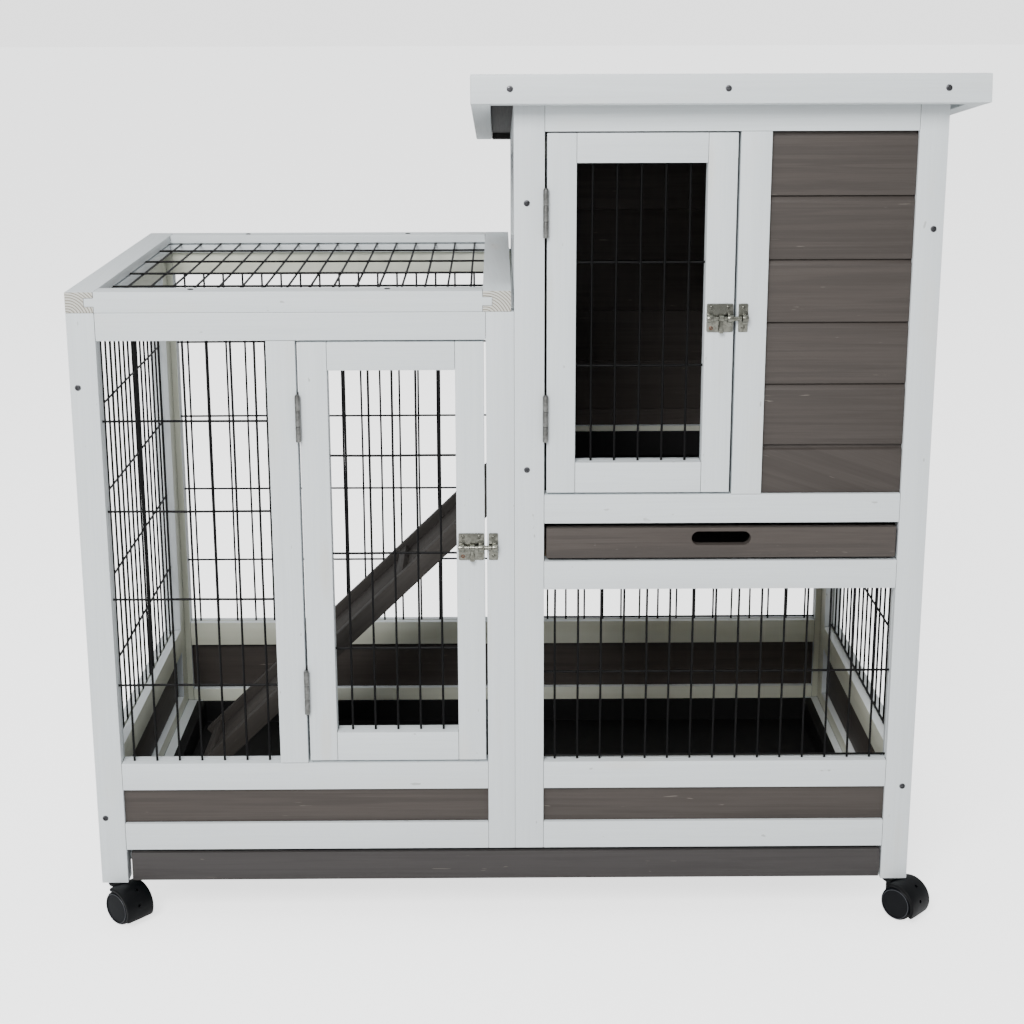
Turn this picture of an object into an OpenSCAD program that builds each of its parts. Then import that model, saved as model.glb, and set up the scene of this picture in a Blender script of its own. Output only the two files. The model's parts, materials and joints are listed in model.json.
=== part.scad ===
// Two-storey rabbit hutch: a mesh run on the left, a planked cabin with a pent roof on the
// right, one full-width litter drawer below, a small one under the cabin, on four casters.
// Everything is drawn on the bench: x = 0 at the seam between run and cabin, y = 0 on the
// front face, z = 0 under the legs. in_row_frame() then moves it to the row frame, whose
// origin is on the floor under the middle of the whole object.

/* [Run, on the left] */
// Outer width of the run
run_w = 472; // [440:1:520]
// Height of the run's frame above the bottom of the legs
run_h = 656; // [640:1:680]
// Width of the mesh window beside the run's door
window_w = 179; // [160:1:200]

/* [Cabin, on the right] */
// Outer width of the cabin
cabin_w = 448; // [440:1:480]
// Top of the cabin's front frame above the bottom of the legs
cabin_h = 871; // [866:1:871]
// Width of the cabin's front and door stiles
cabin_stile_w = 32; // [30:1:34]
// Height of the cabin's floor rail, bottom edge
floor_rail_z = 424; // [420:1:428]
// Height of the rail below the drawer slot, bottom edge
slot_rail_z = 349; // [345:1:351]

/* [Frame] */
// Depth of the frame from front face to back face
depth = 516; // [500:1:540]
// Width of the posts, stiles and top rails
stick_w = 30; // [28:1:32]
// Thickness of every framed panel
stick_t = 22; // [20:1:24]
// Height of the lower rails
rail_h = 32; // [30:1:33]
// Bottom of the front's lowest rail, above the litter drawer
base_z = 41; // [40:1:44]
// Bottom of the lowest rail on the sides and back
side_base_z = 18; // [16:1:20]
// Bottom of the window sill rail
sill_z = 114; // [112:1:116]
// Thickness of the planks
plank_t = 9; // [8:1:10]
// Depth of the planks behind the frame's outer face
plank_recess = 5; // [4:1:6]
// Height from one cabin plank to the next
plank_pitch = 66.4; // [60:0.2:72]

/* [Mesh] */
// Thickness of the wires
wire = 2; // [1.8:0.1:2.4]
// Pitch of the close wires
wire_pitch = 25.4; // [20:0.2:30]
// Pitch of the wide wires in the panels
cross_pitch = 100.4; // [95:0.2:110]
// Pitch of the wide wires in the doors
door_cross_pitch = 110; // [105:1:115]

/* [Doors] */
// Width of both doors
door_w = 197; // [196:0.5:197.5]
// Width of the door stiles and rails
door_stick_w = 30.5; // [28:0.5:34]
// Height of the hinge leaves
hinge_h = 50; // [40:1:60]
// Distance from a door's top or bottom edge to the middle of its hinge
hinge_inset = 82; // [60:1:95]

/* [Run top] */
// Thickness of the mesh panel on the run
top_t = 22; // [20:1:24]
// Distance of its screws from the panel's ends
top_screw_inset = 130; // [100:5:160]

/* [Roof] */
// Overhang in front and behind
roof_front = 30; // [28:1:32]
// Overhang beyond the cabin's left wall
roof_left = 44; // [40:1:48]
// Overhang beyond the cabin's right wall
roof_right = 35; // [28:1:36]
// Fall of the roof towards the back, in degrees
roof_slope = 7.6; // [7.6:0.1:8]
// Height of the bottom edge of the front board above the bottom of the legs
roof_z = 871.5; // [871.5:0.5:876]
// Depth of the boards around the roof
roof_board_h = 29.5; // [28:0.5:32]
// Thickness of the boards around the roof
roof_board_t = 20.5; // [18:0.5:22]

/* [Drawers] */
// Depth of both drawer pans behind their fronts
pan_d = 470; // [440:1:474]
// Wall thickness of the pans
pan_t = 3; // [2.5:0.1:4]
// Thickness of the drawer fronts
drawer_front_t = 12; // [10:1:14]

/* [Ramp] */
// Width over the ramp's side rails
ramp_w = 158; // [140:1:160]
// Slope of the ramp in degrees
ramp_slope = 44; // [43:0.5:44.5]
// Depth of the ramp's side rails
ramp_rail_h = 21; // [20:0.5:22]

/* [Casters] */
// Height of the casters from floor to legs
caster_h = 46; // [46:0.5:50]
// Radius of the wheels
wheel_r = 20; // [19.5:0.1:20]
// Distance of the wheel axle behind the swivel axis
trail = 17; // [17:0.5:18]

/* [Hidden] */

$fn = 48;
WHITE = [0.84, 0.85, 0.86];
TAUPE = [0.38, 0.34, 0.31];
BLACK = [0.05, 0.05, 0.06];
ZINC = [0.72, 0.72, 0.70];
DARK_STEEL = [0.25, 0.25, 0.26];
PALE_PLY = [0.72, 0.66, 0.55];

// Joint line between two boards of one panel, half of it at each end of a rail.
joint = 0.15;

// Levels, from the bottom up.
plank_z = base_z + rail_h;
window_z = sill_z + rail_h;
slot_z = slot_rail_z + rail_h;
cabin_z = floor_rail_z + rail_h;
back_floor_z = 421;
run_rail_z = run_h - stick_w;
cabin_rail_z = cabin_h - 29;

// Wide wires in the panels, measured from the middle of each opening.
run_rows = even(run_rail_z - window_z, cross_pitch);
cabin_rows = [-98.4, 2];
cabin_side_rows = [-98.4, 20.5];

// Widths, from the left to the right.
run_x = -run_w;
window_x = run_x + stick_w;
mid_stile_x = window_x + window_w;
run_doorway_x = mid_stile_x + stick_w + 1;
seam_x = -stick_w;
cabin_in_x = cabin_stile_w;
cabin_out_x = cabin_w - stick_w;
inner_back = depth - stick_t;
side_in_x = cabin_w - stick_t;

// Doors: the same leaf width, hung with the same gaps.
hinge_gap = 2.6;
latch_gap = 2.4;
doorway_w = hinge_gap + door_w + latch_gap;
cabin_stile_x = cabin_in_x + doorway_w + 0.5;
cabin_panel_x = cabin_stile_x + cabin_stile_w;
run_door_x = run_doorway_x + hinge_gap;
cabin_door_x = cabin_in_x + hinge_gap;
run_door_z = [window_z + 3, run_rail_z - 2];
cabin_door_z = [cabin_z + 2.5, cabin_rail_z - 1.5];

// The roof's underside is 7 mm above the lower edge of its boards.
roof_reveal = 7;
deck_t = 19.5;
felt_t = roof_board_h - roof_reveal - deck_t;
roof_w = roof_left + cabin_w + roof_right;
roof_l = (depth + 2 * roof_front - roof_board_h * sin(roof_slope)) / cos(roof_slope);
wall_clear = 0.5;
function under_roof(y) = roof_z + roof_reveal / cos(roof_slope)
    - (y + roof_front) * tan(roof_slope) - wall_clear;

// Screws through the front and back posts into the side panels: x and z.
screws_run = [[-463.5, 576], [-463.5, 80]];
screws_cabin = [[13.5, 769], [13.5, 484], [437.5, 741], [437.5, 114]];
screws_back = [[-463.5, 576], [-463.5, 80], [13.5, 742], [13.5, 484], [437.5, 741], [437.5, 114]];
screw_r = 1.9;
screw_l = 38;
screw_head_r = 3.2;
screw_head_t = 0.9;

// The hinge barrel stands just in front of the frame's face.
knuckle_r = 3;
pin_r = 1.5;
barrel_y = -(knuckle_r + 0.4);
leaf_t = 0.8;
leaf_d = 18;

// The roof is hinged behind the back wall. Its leaves lie under the deck.
roof_leaf_gap = 0.8;
roof_hinge_x = [70, cabin_w - 70];
roof_hinge_drop = knuckle_r + 0.05;
roof_hinge_p = [depth - barrel_y, roof_z - (depth - barrel_y + roof_front) * tan(roof_slope)
    + (roof_reveal - roof_hinge_drop) / cos(roof_slope)];
back_top = under_roof(depth) - roof_leaf_gap;

// Latches: a barrel bolt on the door and its keeper on the next stile.
bolt_y = -5.5;
bolt_r = 2.4;
bolt_bore_r = 2.48;
barrel_r = 4.3;
sheet_t = 1.2;
plate_w = 28;
plate_h = 30;
strap_w = 6.2;
knob_w = 5.5;
keeper_w = 10;
keeper_loop_w = 6;
bolt_l = 37;
run_latch = [run_door_x + door_w - plate_w - 0.6, 398.5];
cabin_latch = [cabin_door_x + door_w - plate_w - 0.6, 648.5];
run_keeper_x = seam_x + 2;
cabin_keeper_x = cabin_stile_x + 2;
bolt_tip_gap = 0.4;

// The ramp hangs from a steel rod at its top, on the inner wall's left face.
ramp_y = [(depth - ramp_w) / 2, (depth + ramp_w) / 2];
ramp_pivot_r = 3;
ramp_pivot_p = [-12, 415.5];
ramp_foot_z = 42;
ramp_rail_w = 12;
ramp_top = 12.9;
ramp_l = (ramp_pivot_p[1] - ramp_foot_z - ramp_rail_h / 2 * cos(ramp_slope)) / sin(ramp_slope);
cleat_pitch = 170;

// Doorway in the inner wall, at the head of the ramp.
doorway_y = [168, 348];
doorway_top = 650;
jamb_w = 26;

// Drawers.
cabin_drawer_x = [cabin_in_x + 2.5, cabin_out_x - 2.5];
cabin_drawer_z = [384.5, 418.5];
grip_w = 64;
grip_h = 15;
grip_lift = 5;
litter_drawer_x = [window_x + 5, cabin_out_x - 2];
litter_drawer_z = [3, 37];
litter_flange = 9;
floor_t = 5;

// Casters: swivel axis and rest angle of the trail, seen from above.
caster_x = [run_x + stick_w / 2, cabin_w - stick_w / 2];
caster_y = [stick_t / 2, depth - stick_t / 2];
caster_yaw = [-41, -43, -80, -50];
stem_r = 4;
stem_up = 28;
axle_r = 2.5;
fit = 0.05;
web_t = 7;
wheel_t = 13.4;
wheel_gap = 0.4;
fender_in = wheel_r + 0.8;
fender_out = 25;
neck_r = 5.6;
neck_z = -10.2;
cap_r = 10;

module in_row_frame() {
    translate([(run_w - cabin_w - roof_right) / 2, -depth / 2, caster_h]) children();
}

// ---------- helpers ----------

// A board given by its span along x, y and z.
module board(x, y, z) {
    translate([x[0], y[0], z[0]]) cube([x[1] - x[0], y[1] - y[0], z[1] - z[0]]);
}

// A rail along x, fitted between two stiles.
module rail_x(x, y, z) {
    board([x[0] + joint, x[1] - joint], y, z);
}

// A rail along y, fitted between two stiles.
module rail_y(x, y, z) {
    board(x, [y[0] + joint, y[1] - joint], z);
}

// A board in a side wall whose top edge follows the roof.
module sloped_board(x, y, bottom, below) {
    translate([x[0], 0, 0]) rotate([90, 0, 90]) linear_extrude(x[1] - x[0])
        polygon([[y[0], bottom[0]], [y[1], bottom[1]],
                 [y[1], under_roof(y[1]) - below], [y[0], under_roof(y[0]) - below]]);
}

// Offsets of evenly pitched wires from the middle of a span.
function even(span, pitch, shift = 0) =
    let (n = floor(span / pitch)) [for (i = [0 : n - 1]) (i - (n - 1) / 2) * pitch + shift];

// Close wires across an opening, and wide ones at the given offsets from its middle.
module grid(w, h, rows, shift = 0) {
    linear_extrude(wire, center = true) {
        for (x = even(w, wire_pitch, shift)) translate([x, 0]) square([wire, h], center = true);
        for (y = rows) translate([0, y]) square([w, wire], center = true);
    }
}

// A mesh panel standing in the xz plane.
module mesh_x(x, y, z, rows, shift = 0) {
    translate([(x[0] + x[1]) / 2, y, (z[0] + z[1]) / 2])
        rotate([90, 0, 0]) grid(x[1] - x[0], z[1] - z[0], rows, shift);
}

// A mesh panel standing in the yz plane.
module mesh_y(x, y, z, rows) {
    translate([x, (y[0] + y[1]) / 2, (z[0] + z[1]) / 2])
        rotate([90, 0, 90]) grid(y[1] - y[0], z[1] - z[0], rows);
}

// One shiplap plank, face towards -y: a chamfer and a rebate along its top edge.
module shiplap_board(length, bottom, top) {
    lap = 6;
    rotate([90, 0, 90]) linear_extrude(length)
        polygon([
            [0, bottom], [plank_t, bottom], [plank_t, top],
            [4, top], [4, top - lap + 2], [0, top - lap]]);
}

// A stack of shiplap planks from one level to another.
module shiplap(length, bottom, top) {
    count = ceil((top - bottom) / plank_pitch);
    for (k = [0 : count - 1]) {
        upper = top - k * plank_pitch;
        translate([joint, 0, 0])
            shiplap_board(length - 2 * joint, max(bottom, upper - plank_pitch) + joint, upper - joint);
    }
}

// A shank that the frame's screws or their holes take, along +y.
module shanks(list, y, direction, r, length) {
    for (p = list) translate([p[0], y, p[1]]) rotate([-90 * direction, 0, 0]) cylinder(r = r, h = length);
}

// Holes for the posts' screws, front and back.
module screw_holes() {
    shanks(concat(screws_run, screws_cabin), -1, 1, screw_r + fit, screw_l + 2);
    shanks(screws_back, depth + 1, -1, screw_r + fit, screw_l + 2);
}

// Vertical holes for the casters' stems.
module stem_holes() {
    for (x = caster_x, y = caster_y) translate([x, y, -1]) cylinder(r = stem_r + fit, h = stem_up + 2);
}

// ---------- run panels ----------

module run_front_frame() in_row_frame() color(WHITE) difference() {
    y = [0, stick_t];
    union() {
        board([run_x, window_x], y, [0, run_h]);
        board([seam_x, 0], y, [base_z, run_h]);
        board([mid_stile_x, run_doorway_x], y, [window_z + joint, run_rail_z - joint]);
        rail_x([window_x, seam_x], y, [run_rail_z, run_h]);
        rail_x([window_x, seam_x], y, [sill_z, window_z]);
        rail_x([window_x, seam_x], y, [base_z, plank_z]);
    }
    screw_holes();
    stem_holes();
}

module run_side_frame() in_row_frame() color(WHITE) difference() {
    x = [run_x, run_x + stick_t];
    y = [stick_t, inner_back];
    span = [y[0] + stick_w, y[1] - stick_w];
    union() {
        board(x, [y[0], span[0]], [0, run_h]);
        board(x, [span[1], y[1]], [0, run_h]);
        rail_y(x, span, [run_rail_z, run_h]);
        rail_y(x, span, [sill_z, window_z]);
        rail_y(x, span, [side_base_z, side_base_z + rail_h]);
    }
    screw_holes();
}

module run_back_frame() in_row_frame() color(WHITE) difference() {
    y = [inner_back, depth];
    union() {
        board([run_x, window_x], y, [0, run_h]);
        board([seam_x, 0], y, [side_base_z, run_h]);
        rail_x([window_x, seam_x], y, [run_rail_z, run_h]);
        rail_x([window_x, seam_x], y, [sill_z, window_z]);
        rail_x([window_x, seam_x], y, [side_base_z, side_base_z + rail_h]);
    }
    screw_holes();
    stem_holes();
}

module run_front_mesh() in_row_frame() color(BLACK)
    mesh_x([window_x, mid_stile_x], stick_t / 2, [window_z, run_rail_z], run_rows);

module run_side_mesh() in_row_frame() color(BLACK)
    mesh_y(run_x + stick_t / 2, [stick_t + stick_w, inner_back - stick_w], [window_z, run_rail_z], run_rows);

module run_back_mesh() in_row_frame() color(BLACK)
    mesh_x([window_x, seam_x], depth - stick_t / 2, [window_z, run_rail_z],
           even(run_rail_z - window_z, cross_pitch, -1.5), -2.5);

// ---------- cabin panels ----------

module cabin_front_frame() in_row_frame() color(WHITE) difference() {
    y = [0, stick_t];
    span = [cabin_in_x, cabin_out_x];
    union() {
        board([0, cabin_in_x], y, [base_z, cabin_h]);
        board([cabin_out_x, cabin_w], y, [0, cabin_h]);
        board([cabin_stile_x, cabin_panel_x], y, [cabin_z + joint, cabin_rail_z - joint]);
        for (z = [base_z, sill_z, slot_rail_z, floor_rail_z]) rail_x(span, y, [z, z + rail_h]);
        rail_x(span, y, [cabin_rail_z, cabin_h]);
    }
    screw_holes();
    stem_holes();
}

// A cabin side wall: sloped stiles and top rail, level rails below.
module cabin_wall(x, front_z, back_z) {
    y = [stick_t, inner_back];
    span = [y[0] + stick_w, y[1] - stick_w];
    rail = [span[0] + joint, span[1] - joint];
    sloped_board(x, [y[0], span[0]], [front_z, front_z], 0);
    sloped_board(x, [span[1], y[1]], [back_z, back_z], 0);
    sloped_board(x, rail, [under_roof(rail[0]) - stick_w, under_roof(rail[1]) - stick_w], 0);
    for (z = [slot_rail_z, floor_rail_z]) rail_y(x, span, [z, z + rail_h]);
}

module cabin_side_frame() in_row_frame() color(WHITE) difference() {
    x = [side_in_x, cabin_w];
    span = [stick_t + stick_w, inner_back - stick_w];
    union() {
        cabin_wall(x, 0, 0);
        for (z = [side_base_z, sill_z]) rail_y(x, span, [z, z + rail_h]);
    }
    screw_holes();
}

module cabin_back_frame() in_row_frame() color(WHITE) difference() {
    y = [inner_back, depth];
    top = back_top;
    span = [stick_w, cabin_out_x];
    union() {
        board([0, stick_w], y, [side_base_z, top]);
        board([cabin_out_x, cabin_w], y, [0, top]);
        for (z = [side_base_z, sill_z, slot_rail_z]) rail_x(span, y, [z, z + rail_h]);
        rail_x(span, y, [slot_z + joint, back_floor_z]);
        rail_x(span, y, [top - stick_w, top]);
    }
    screw_holes();
    stem_holes();
}

// The wall between run and cabin, with the doorway at the head of the ramp.
module inner_wall_frame() in_row_frame() color(WHITE) difference() {
    x = [0, stick_t];
    union() {
        cabin_wall(x, base_z, base_z);
        for (y = [doorway_y[0] - jamb_w, doorway_y[1]])
            board(x, [y, y + jamb_w], [cabin_z + joint, doorway_top - joint]);
        rail_y(x, [stick_t + stick_w, inner_back - stick_w], [doorway_top, doorway_top + stick_w]);
    }
    screw_holes();
}

module cabin_front_mesh() in_row_frame() color(BLACK)
    mesh_x([cabin_in_x, cabin_out_x], stick_t / 2, [window_z, slot_rail_z], cabin_rows, -2.5);

module cabin_side_mesh() in_row_frame() color(BLACK)
    mesh_y(cabin_w - stick_t / 2, [stick_t + stick_w, inner_back - stick_w], [window_z, slot_rail_z],
           cabin_side_rows);

module cabin_back_mesh() in_row_frame() color(BLACK)
    mesh_x([stick_w, cabin_out_x], depth - stick_t / 2, [window_z, slot_rail_z], cabin_rows, 3.5);

// ---------- planks ----------

// The low planks between base rail and sill, all round.
module base_planks() in_row_frame() color(TAUPE) {
    front_y = [plank_recess, plank_recess + plank_t];
    back_y = [depth - front_y[1], depth - front_y[0]];
    front_z = [plank_z + joint, sill_z - joint];
    side_z = [side_base_z + rail_h + joint, sill_z - joint];
    span = [stick_t + stick_w, inner_back - stick_w];
    rail_x([window_x, seam_x], front_y, front_z);
    rail_x([cabin_in_x, cabin_out_x], front_y, front_z);
    rail_x([window_x, seam_x], back_y, side_z);
    rail_x([stick_w, cabin_out_x], back_y, side_z);
    rail_y([run_x + plank_recess, run_x + plank_recess + plank_t], span, side_z);
    rail_y([cabin_w - plank_recess - plank_t, cabin_w - plank_recess], span, side_z);
}

module cabin_front_planks() in_row_frame() color(TAUPE)
    translate([cabin_panel_x, plank_recess, 0])
        shiplap(cabin_out_x - cabin_panel_x, cabin_z, cabin_rail_z);

// Planks of a side wall, cut to the roof's slope. Their faces look along +x.
module wall_planks() {
    span = [stick_t + stick_w, inner_back - stick_w];
    intersection() {
        translate([0, span[0], 0]) rotate([0, 0, 90]) shiplap(span[1] - span[0], cabin_z, cabin_rail_z);
        sloped_board([-plank_t, 0], span, [cabin_z, cabin_z], stick_w + joint);
    }
}

module cabin_side_planks() in_row_frame() color(TAUPE) {
    translate([cabin_w - plank_recess, 0, 0]) wall_planks();
    board([cabin_w - plank_recess - plank_t, cabin_w - plank_recess],
          [stick_t + stick_w + joint, inner_back - stick_w - joint], [slot_z + joint, floor_rail_z - joint]);
}

module cabin_back_planks() in_row_frame() color(TAUPE) {
    y = depth - plank_recess;
    translate([cabin_out_x, y, 0]) rotate([0, 0, 180])
        shiplap(cabin_out_x - stick_w, back_floor_z, back_top - stick_w);
}

// Planks beside and above the ramp's doorway; their faces look along -x, into the run.
module inner_wall_planks() in_row_frame() color(TAUPE) {
    difference() {
        translate([plank_recess, depth, 0]) rotate([0, 0, 180]) wall_planks_flat();
        board([-1, stick_t], [doorway_y[0] - jamb_w - joint, doorway_y[1] + jamb_w + joint],
              [cabin_z - 1, doorway_top]);
        board([-1, stick_t], [0, depth], [doorway_top - joint, doorway_top + stick_w + joint]);
    }
    board([plank_recess, plank_recess + plank_t],
          [stick_t + stick_w + joint, inner_back - stick_w - joint], [slot_z + joint, floor_rail_z - joint]);
}

// The same planks turned to look the other way, with the slope still falling to the back.
module wall_planks_flat() {
    span = [stick_t + stick_w, inner_back - stick_w];
    intersection() {
        translate([0, span[0], 0]) rotate([0, 0, 90]) shiplap(span[1] - span[0], cabin_z, cabin_rail_z);
        translate([0, depth, 0]) mirror([0, 1, 0])
            sloped_board([-plank_t, 0], span, [cabin_z, cabin_z], stick_w + joint);
    }
}

// ---------- floor and runners ----------

module cabin_floor() in_row_frame() color(PALE_PLY)
    board([stick_t, side_in_x], [stick_t, inner_back], [slot_z - floor_t, slot_z]);

// Cleats under the cabin floor and runners under the litter drawer's flanges.
module drawer_runners() in_row_frame() color(WHITE) {
    cleat = 15;
    top = litter_drawer_z[1] - pan_t - 0.5;
    span = [stick_t, inner_back];
    for (x = [stick_t, side_in_x - cleat])
        board([x, x + cleat], span, [slot_z - floor_t - 20, slot_z - floor_t]);
    board([run_x + stick_t, window_x + 13], [stick_t + 2, inner_back], [side_base_z, top]);
    board([cabin_out_x - 10, side_in_x], [stick_t + 2, inner_back], [side_base_z, top]);
}

// ---------- run top ----------

module run_top_screws(r, z, h) {
    for (x = [run_x + top_screw_inset, -top_screw_inset - 4], y = [stick_w / 2 + 2, depth - stick_w / 2 - 2])
        translate([x, y, z]) cylinder(r = r, h = h);
}

// The mesh panel on the run: side rails run through to the front, with bridle joints there.
module run_top_frame() in_row_frame() color(WHITE) {
    z = [run_h, run_h + top_t];
    x = [run_x, -3];
    tongue = [run_h + 6.5, run_h + 15.5];
    tongue_l = 10;
    difference() {
        union() {
            board([x[0], x[0] + stick_w], [0, depth], z);
            board([x[1] - stick_w, x[1]], [0, depth], z);
        }
        board([x[0] + stick_w - tongue_l, x[1] - stick_w + tongue_l], [-1, stick_w + 1],
              [tongue[0] - joint, tongue[1] + joint]);
        board([x[0] + stick_w - tongue_l, x[1] - stick_w + tongue_l], [depth - stick_w - 1, depth + 1],
              [tongue[0] - joint, tongue[1] + joint]);
    }
    difference() {
        for (y = [[0, stick_w], [depth - stick_w, depth]]) {
            rail_x([x[0] + stick_w, x[1] - stick_w], y, z);
            board([x[0] + stick_w - tongue_l + joint, x[1] - stick_w + tongue_l - joint], y, tongue);
        }
        run_top_screws(screw_r + fit, run_h - 1, top_t + 2);
    }
}

module run_top_mesh() in_row_frame() color(BLACK)
    translate([(run_x - 3) / 2, depth / 2, run_h + top_t / 2])
        grid(run_w - 3 - 2 * stick_w, depth - 2 * stick_w, even(depth - 2 * stick_w, cross_pitch));

// ---------- roof ----------

// The roof's own frame: x from its left edge, y along the slope from the front, z up from
// the lower edge of its boards.
module on_roof() {
    translate([-roof_left, -roof_front, roof_z]) rotate([-roof_slope, 0, 0]) children();
}

roof_screw_x = [40, roof_w / 2 - 3, roof_w - 44];

module roof_screw_rods(r, depth_in) {
    for (x = roof_screw_x) {
        translate([x, -1, roof_board_h / 2]) rotate([-90, 0, 0]) cylinder(r = r, h = depth_in + 1);
        translate([x, roof_l + 1, roof_board_h / 2]) rotate([90, 0, 0]) cylinder(r = r, h = depth_in + 1);
    }
}

module roof_deck() in_row_frame() color(BLACK) on_roof() difference() {
    board([roof_board_t, roof_w - roof_board_t], [roof_board_t, roof_l - roof_board_t],
          [roof_reveal, roof_reveal + deck_t - joint]);
    roof_screw_rods(screw_r + fit, screw_l + 1);
}

module roof_felt() in_row_frame() color(DARK_STEEL) on_roof()
    board([roof_board_t, roof_w - roof_board_t], [roof_board_t, roof_l - roof_board_t],
          [roof_board_h - felt_t, roof_board_h - 0.5]);

// The front board runs through; the two barge boards are rounded at their lower back corner.
module roof_boards() in_row_frame() color(WHITE) on_roof() {
    difference() {
        board([0, roof_w], [0, roof_board_t - joint], [0, roof_board_h]);
        roof_screw_rods(screw_r + fit, screw_l + 1);
    }
    for (x = [0, roof_w - roof_board_t + joint]) barge_board(x);
}

// The dark board between the barge boards at the back.
module roof_back_board() in_row_frame() color(BLACK) on_roof() difference() {
    board([roof_board_t, roof_w - roof_board_t], [roof_l - roof_board_t + joint, roof_l], [0, roof_board_h]);
    roof_screw_rods(screw_r + fit, screw_l + 1);
}

module barge_board(x) {
    corner = 9;
    y = [roof_board_t, roof_l];
    translate([x, 0, 0]) rotate([90, 0, 90]) linear_extrude(roof_board_t - joint) union() {
        translate([y[0], 0]) square([y[1] - y[0] - corner, roof_board_h]);
        translate([y[0], corner]) square([y[1] - y[0], roof_board_h - corner]);
        translate([y[1] - corner, corner]) circle(r = corner);
    }
}

// ---------- screws ----------

module screw_head(p, y, direction) {
    translate([p[0], y, p[1]]) rotate([-90 * direction, 0, 0]) translate([0, 0, -screw_head_t])
        cylinder(r = screw_head_r, h = screw_head_t);
}

module frame_screws() in_row_frame() color(DARK_STEEL) {
    for (p = concat(screws_run, screws_cabin)) {
        screw_head(p, 0, 1);
        shanks([p], 0, 1, screw_r, screw_l);
    }
    for (p = screws_back) {
        screw_head(p, depth, -1);
        shanks([p], depth, -1, screw_r, screw_l);
    }
    run_top_screws(screw_head_r, run_h + top_t, screw_head_t);
    run_top_screws(screw_r, run_h + 0.5, top_t);
}

module roof_screws() in_row_frame() color(DARK_STEEL) on_roof()
    for (x = roof_screw_x) {
        translate([x, 0, roof_board_h / 2]) rotate([-90, 0, 0]) {
            translate([0, 0, -screw_head_t]) cylinder(r = screw_head_r, h = screw_head_t);
            cylinder(r = screw_r, h = screw_l);
        }
        translate([x, roof_l, roof_board_h / 2]) rotate([90, 0, 0]) cylinder(r = screw_r, h = screw_l);
    }

// ---------- doors ----------

// A framed door: stiles run through, rails fit between them.
module door_frame(x, z) {
    y = [0, stick_t];
    inner = [x + door_stick_w, x + door_w - door_stick_w];
    board([x, inner[0]], y, z);
    board([inner[1], x + door_w], y, z);
    rail_x(inner, y, [z[0], z[0] + door_stick_w + 3]);
    rail_x(inner, y, [z[1] - door_stick_w, z[1]]);
}

module door_mesh(x, z) {
    opening = [z[0] + door_stick_w + 3, z[1] - door_stick_w];
    mesh_x([x + door_stick_w, x + door_w - door_stick_w], stick_t / 2, opening,
           even(opening[1] - opening[0], door_cross_pitch));
}

// Where a door's two hinges sit.
function hinge_levels(z) = [z[0] + hinge_inset, z[1] - hinge_inset];

// Moves a hinge part to each of a door's barrels.
module at_hinges(door_x, z) {
    for (h = hinge_levels(z)) translate([door_x - hinge_gap / 2, barrel_y, h]) children();
}

// A hinge leaf let into the gap beside the door. side is -1 on the frame and 1 on the door;
// the knuckles are given as [bottom, top] spans from the middle of the hinge.
module hinge_leaf(side, knuckles) {
    face = -barrel_y;
    x = side > 0 ? hinge_gap / 2 - leaf_t : -hinge_gap / 2;
    difference() {
        union() {
            translate([x, face + 0.4, -hinge_h / 2]) cube([leaf_t, leaf_d, hinge_h]);
            for (k = knuckles) {
                translate([0, 0, k[0]]) cylinder(r = knuckle_r, h = k[1] - k[0]);
                translate([x, 0, k[0]]) cube([leaf_t, face + 0.5, k[1] - k[0]]);
            }
        }
        translate([0, 0, -hinge_h]) cylinder(r = pin_r + fit, h = 2 * hinge_h);
    }
}

third = hinge_h / 3;
slack = 0.4;
middle_knuckle = [[-third / 2 + slack / 2, third / 2 - slack / 2]];
outer_knuckles = [[-hinge_h / 2, -third / 2 - slack / 2], [third / 2 + slack / 2, hinge_h / 2]];

// Moves a hinge part, drawn along x, to each of the roof's barrels.
module at_roof_hinges() {
    for (x = roof_hinge_x) translate([x, roof_hinge_p[0], roof_hinge_p[1]]) children();
}

module bored_knuckles(knuckles) {
    difference() {
        union() {
            for (k = knuckles)
                translate([k[0], 0, 0]) rotate([0, 90, 0]) cylinder(r = knuckle_r, h = k[1] - k[0]);
            children();
        }
        translate([-hinge_h, 0, 0]) rotate([0, 90, 0]) cylinder(r = pin_r + fit, h = 2 * hinge_h);
    }
}

// The leaf on the back wall hangs down from the outer knuckles.
module roof_hinge_wall_leaf() {
    start = knuckle_r + 0.6;
    bored_knuckles(outer_knuckles) {
        translate([-hinge_h / 2, barrel_y, -start - leaf_d]) cube([hinge_h, leaf_t, leaf_d]);
        for (k = outer_knuckles)
            translate([k[0], barrel_y, -start - 0.1]) cube([k[1] - k[0], leaf_t, start + 0.1]);
    }
}

module hinge_frame_leaves() in_row_frame() color(ZINC) {
    at_hinges(run_door_x, run_door_z) hinge_leaf(-1, outer_knuckles);
    at_hinges(cabin_door_x, cabin_door_z) hinge_leaf(-1, outer_knuckles);
    at_roof_hinges() roof_hinge_wall_leaf();
}

// The leaf under the deck runs forwards from the middle knuckle.
module roof_hinge_leaves() in_row_frame() color(ZINC) at_roof_hinges() {
    start = knuckle_r + 0.6;
    under = roof_hinge_drop - leaf_t;
    half = hinge_h / 2;
    tab = middle_knuckle[0];
    rotate([-roof_slope, 0, 0]) bored_knuckles(middle_knuckle) translate([0, 0, under]) linear_extrude(leaf_t)
        polygon([[-half, -start - leaf_d], [half, -start - leaf_d], [half, -start], [tab[1] - 0.5, -start],
                 [tab[1] - 0.5, -1], [tab[0] + 0.5, -1], [tab[0] + 0.5, -start], [-half, -start]]);
}

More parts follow.
